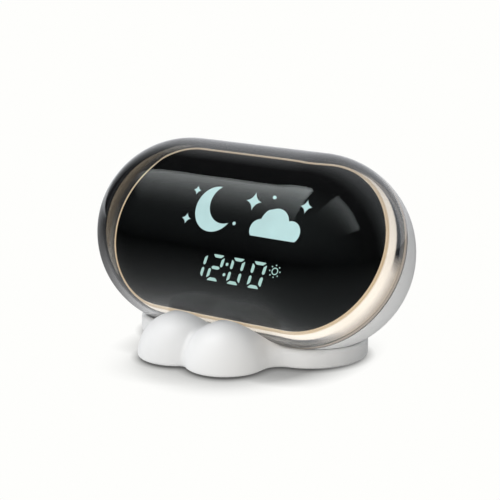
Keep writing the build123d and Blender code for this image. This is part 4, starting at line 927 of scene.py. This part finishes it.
class CLOCK_OT_display(bpy.types.Operator):
    """Make the lit display: time, sun sign and night picture"""

    bl_idname = "clock.display"
    bl_label = "Display"

    def execute(self, context):
        look = context.scene.clock_look
        low, high = PANEL_FRONT, PANEL_FRONT + look.film
        digit_light = lit_shape("digit_light", look.digits)
        picture_light = lit_shape("picture_light", look.picture)

        def raised(outlines):
            return [prism(outline, low, high) for outline in outlines]

        bars = digit_bars(look.digit_width, look.digit_height, look.digit_bar, look.digit_gap)
        digits = []
        for number, digit in enumerate(TIME):
            steps = number - (len(TIME) - 1) / 2
            shift = look.one_shift if digit == "1" else 0.0
            middle = (look.digit_across + steps * look.digit_pitch + shift, look.digit_rise)
            digits += [rounded(bars[bar]) + middle for bar in DIGIT_BARS[digit]]
        piece("display_digits", raised(digits), digit_light)

        heights = (look.digit_rise - COLON_RISE, look.digit_rise + COLON_RISE)
        colon = [circle((look.digit_across, height), COLON_RADIUS) for height in heights]
        piece("display_colon", raised(colon), digit_light)

        disc = hoop(SUN_CENTRE, SUN_INNER, SUN_OUTER, low, high)
        rays = [circle(ray, SUN_RAY_RADIUS, count=14) for ray in circle(SUN_CENTRE, SUN_RAY_REACH, SUN_RAYS)]
        piece("display_sun", [disc, *raised(rays)], digit_light)

        night = [
            crescent(MOON_CENTRE, MOON_RADIUS, BITE_RADIUS, BITE_SHIFT, MOON_TILT),
            cloud(CLOUD_CENTRE, CLOUD_PUFFS, CLOUD_FLOOR),
            *[sparkle((across, rise), radius) for across, rise, radius in STARS],
            *[circle(dot, DOT_RADIUS) for dot in DOTS],
        ]
        piece("display_night_picture", raised(night), picture_light)
        return {"FINISHED"}


class CLOCK_OT_works(bpy.types.Operator):
    """Give the inner works their finishes"""

    bl_idname = "clock.works"
    bl_label = "Inner works"

    def execute(self, context):
        screws = [f"{kind}_screws" for kind in ("frame", "board", "snooze", "plate", "base")]
        plungers = [f"{name}_plunger" for name in (*BUTTONS, "snooze")]
        paint(moulded("inner_white", srgb(228, 228, 224), roughness=0.55), "inner_frame", "display_light_box")
        paint(moulded("black_film", srgb(16, 16, 17), roughness=0.6), "panel_tape", "display_film")
        paint(circuit_board("green_board"), "led_board", "main_board", "snooze_board")
        paint(lit_shape("chip_light", srgb(250, 226, 160)), "display_leds", "ring_leds")
        paint(brushed("screw_zinc", srgb(190, 190, 188), roughness=0.32, stretch=(1.0, 6.0, 1.0)), *screws)
        paint(
            moulded("switch_black", srgb(30, 30, 31), roughness=0.5),
            "switch_housings", "snooze_switch", "power_switch",
        )
        paint(moulded("plunger_black", srgb(52, 50, 48), roughness=0.4), *plungers)
        paint(
            brushed("drawn_steel", srgb(196, 196, 198), roughness=0.28, stretch=(8.0, 1.0, 1.0)),
            "usb_socket", "speaker_frame",
        )
        dark, pale = srgb(22, 22, 23), srgb(38, 37, 36)
        paint(rough_matter("cone_paper", dark, pale, PAPER_CELL, PAPER_DEPTH, roughness=0.9), "speaker_cone")
        dark, pale = srgb(46, 46, 48), srgb(66, 66, 68)
        ferrite = rough_matter("ferrite", dark, pale, FERRITE_CELL, FERRITE_DEPTH, roughness=0.6, metal=0.4)
        paint(ferrite, "speaker_magnet")
        paint(moulded("cell_sleeve", srgb(58, 104, 158), roughness=0.25, grain=SLEEVE_GRAIN), "battery_cell")
        dark, pale = srgb(30, 30, 31), srgb(58, 58, 60)
        paint(rough_matter("open_foam", dark, pale, FOAM_CELL, FOAM_DEPTH, roughness=0.95), "battery_pad")
        return {"FINISHED"}


def posed(side, above, back, place):
    """Matrix of a lamp or a camera that stands at a place, from its three axes."""
    turned = Matrix(np.column_stack((side, above, back)).tolist()).to_4x4()
    turned.translation = place
    return turned


class CLOCK_OT_stage(bpy.types.Operator):
    """Make the floor, the soft lamps, the surroundings and the camera"""

    bl_idname = "clock.stage"
    bl_label = "Studio"

    def execute(self, context):
        scene, stage = context.scene, context.scene.clock_stage
        self.floor()
        soft = self.softbox("overhead_softbox", OVERHEAD_PLACE, OVERHEAD_SIZE, stage.key_light)
        soft.visible_glossy = soft.visible_transmission = False
        gleam_light = GLEAM_SHARE * stage.key_light
        gleam = self.softbox("overhead_gleam", GLEAM_PLACE, GLEAM_SIZE, gleam_light, GLEAM_LEFT_SHARE)
        gleam.visible_diffuse = False
        shine = self.softbox("right_softbox", RIGHT_PLACE, RIGHT_SIZE, stage.side_light)
        shine.visible_diffuse = False
        self.bounce_card(stage)
        self.surroundings(scene, stage)
        self.camera(scene, stage)
        scene.view_settings.view_transform = "Standard"
        return {"FINISHED"}

    def floor(self):
        """Round floor: rings, each a fixed ratio wider than the last, cut by spokes, and a fan at the hub."""
        rings = np.geomspace(*FLOOR_REACH, FLOOR_RINGS)
        spokes = circle((0.0, 0.0), 1.0, FLOOR_SPOKES)
        flat = np.vstack(((0.0, 0.0), (rings[:, None, None] * spokes).reshape(-1, 2)))
        points = np.column_stack((flat, np.zeros(len(flat))))
        corner = 1 + np.arange(FLOOR_RINGS * FLOOR_SPOKES).reshape(FLOOR_RINGS, FLOOR_SPOKES)
        ahead = np.roll(corner, -1, axis=1)
        quads = np.stack((corner[:-1], corner[1:], ahead[1:], ahead[:-1]), axis=-1).reshape(-1, 4)
        hub = np.column_stack((np.zeros(FLOOR_SPOKES, int), corner[0], ahead[0]))
        shown("studio_floor", points, quads.tolist() + hub.tolist(), floor_white("floor_white"))

    def flat_lamp(self, name, size, brightness):
        """Rectangular lamp, whose power is its brightness times pi times its area."""
        lamp = bpy.data.lights.new(name, "AREA")
        lamp.shape = "RECTANGLE"
        lamp.size, lamp.size_y = size
        lamp.energy = brightness * np.pi * size[0] * size[1]
        thing = bpy.data.objects.new(name, lamp)
        bpy.context.scene.collection.objects.link(thing)
        return thing

    def softbox(self, name, place, size, brightness, left_share=1.0):
        """Flat lamp that looks down, brighter towards its back edge and dimmed to a share at its left end."""
        front_share, power = 0.02, 2.6
        thing = self.flat_lamp(name, size, brightness)
        thing.location = place
        nodes = Nodes(thing.data)
        back = nodes.part(nodes.add("ShaderNodeNewGeometry", output="Parametric"), 1)
        spot = nodes.part(nodes.add("ShaderNodeNewGeometry", output="Position"), 0)
        left = place[0] - size[0] / 2
        across = spot.along(left, left + size[0])
        strength = (front_share + back**power) * (left_share + (1.0 - left_share) * across)
        nodes.show(nodes.add("ShaderNodeEmission", None, {"Strength": strength}), "ShaderNodeOutputLight")
        return thing

    def bounce_card(self, stage):
        """Small warm lamp low in front, which lifts the hollow between foot and neck. Nothing mirrors it."""
        thing = self.flat_lamp("bounce_card", BOUNCE_SIZE, stage.bounce_light)
        thing.data.color = srgb(255, 246, 232)
        back = (BOUNCE_PLACE - BOUNCE_AIM) / np.linalg.norm(BOUNCE_PLACE - BOUNCE_AIM)
        side = np.cross((0.0, 0.0, 1.0), back)
        side /= np.linalg.norm(side)
        thing.matrix_world = posed(side, np.cross(back, side), back, BOUNCE_PLACE)
        thing.visible_glossy = thing.visible_transmission = False

    def surroundings(self, scene, stage):
        """What is round the clock. The camera sees white. The clock mirrors a room, black in front and white
        at the back, with a glow high in front. Through the dome it is dark where the photograph looks, and
        pale aside of that. On matt surfaces it is a soft light that falls off from left to right."""
        least_share = 0.01
        scene.world = bpy.data.worlds.new("studio")
        nodes = Nodes(scene.world)
        direction = nodes.add("ShaderNodeTexCoord", output="Generated")
        back, upright = nodes.part(direction, 1), nodes.part(direction, 2)
        seen, mirrored, through, first, straight = nodes.ray_kinds(extra_steps=1)
        room = nodes.ramp(back.centred() * first, ROOM_STOPS)
        front_glow = FRONT_GLOW_SHARE * upright.at_least(0.0) * (0.0 - back).at_least(0.0) * first
        room = nodes.mix(front_glow, room, FRONT_GLOW)
        near, far = (shaded(WHITE, stage.ambient * share) for share in AMBIENT_SHARES)
        ambient = nodes.mix(nodes.dot(direction, DIM_WAY).centred(), near, far)
        level = (1.0 - upright * upright).at_least(least_share) ** MIDDLE_SHARE
        aside = (nodes.dot(direction, PHOTO_WAY) / level).between(*PALE_SHARES)
        glass_tone = nodes.mix(aside * straight, THROUGH_DARK, THROUGH_PALE)
        unseen = nodes.mix(through, nodes.mix(mirrored, ambient, room), glass_tone)
        colour = nodes.mix(seen, unseen, WHITE)
        nodes.show(nodes.add("ShaderNodeBackground", None, {"Color": colour}), "ShaderNodeOutputWorld")

    def camera(self, scene, stage):
        """Camera at the photograph's angle, found by fitting the pill, the window and the stand."""
        right = np.array((np.cos(PHOTO_TURN), np.sin(PHOTO_TURN), 0.0))
        ahead = np.cos(PHOTO_TIP) * np.array(PHOTO_WAY) - (0.0, 0.0, np.sin(PHOTO_TIP))
        above = np.cross(right, ahead)
        eye = HEAD_CENTRE - CAMERA_AWAY * ahead - CAMERA_LEFT * right - CAMERA_LOW * above
        camera = bpy.data.cameras.new("camera")
        camera.lens = stage.lens
        camera.sensor_width = CAMERA_SENSOR
        camera.clip_start, camera.clip_end = CAMERA_CLIP
        thing = bpy.data.objects.new("camera", camera)
        thing.matrix_world = posed(right, above, -ahead, eye)
        scene.collection.objects.link(thing)
        scene.camera = thing


class CLOCK_PT_sidebar(bpy.types.Panel):
    """Sidebar panel with the clock's steps and settings"""

    bl_label = "Kids alarm clock"
    bl_space_type = "VIEW_3D"
    bl_region_type = "UI"
    bl_category = "Clock"

    def draw(self, context):
        for step in STEPS:
            self.layout.operator(step.bl_idname)
        for settings in (context.scene.clock_look, context.scene.clock_stage):
            for name in settings.__annotations__:
                self.layout.prop(settings, name)


STEPS = (CLOCK_OT_shells, CLOCK_OT_front, CLOCK_OT_display, CLOCK_OT_works, CLOCK_OT_stage)
CLASSES = (ClockLook, ClockStage, *STEPS, CLOCK_PT_sidebar)


def register():
    for each in CLASSES:
        bpy.utils.register_class(each)
    bpy.types.Scene.clock_look = PointerProperty(type=ClockLook)
    bpy.types.Scene.clock_stage = PointerProperty(type=ClockStage)


def unregister():
    del bpy.types.Scene.clock_stage
    del bpy.types.Scene.clock_look
    for each in reversed(CLASSES):
        bpy.utils.unregister_class(each)


def main():
    """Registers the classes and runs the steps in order."""
    register()
    bpy.ops.clock.shells()
    bpy.ops.clock.front()
    bpy.ops.clock.display()
    bpy.ops.clock.works()
    bpy.ops.clock.stage()


if __name__ == "__main__":
    main()
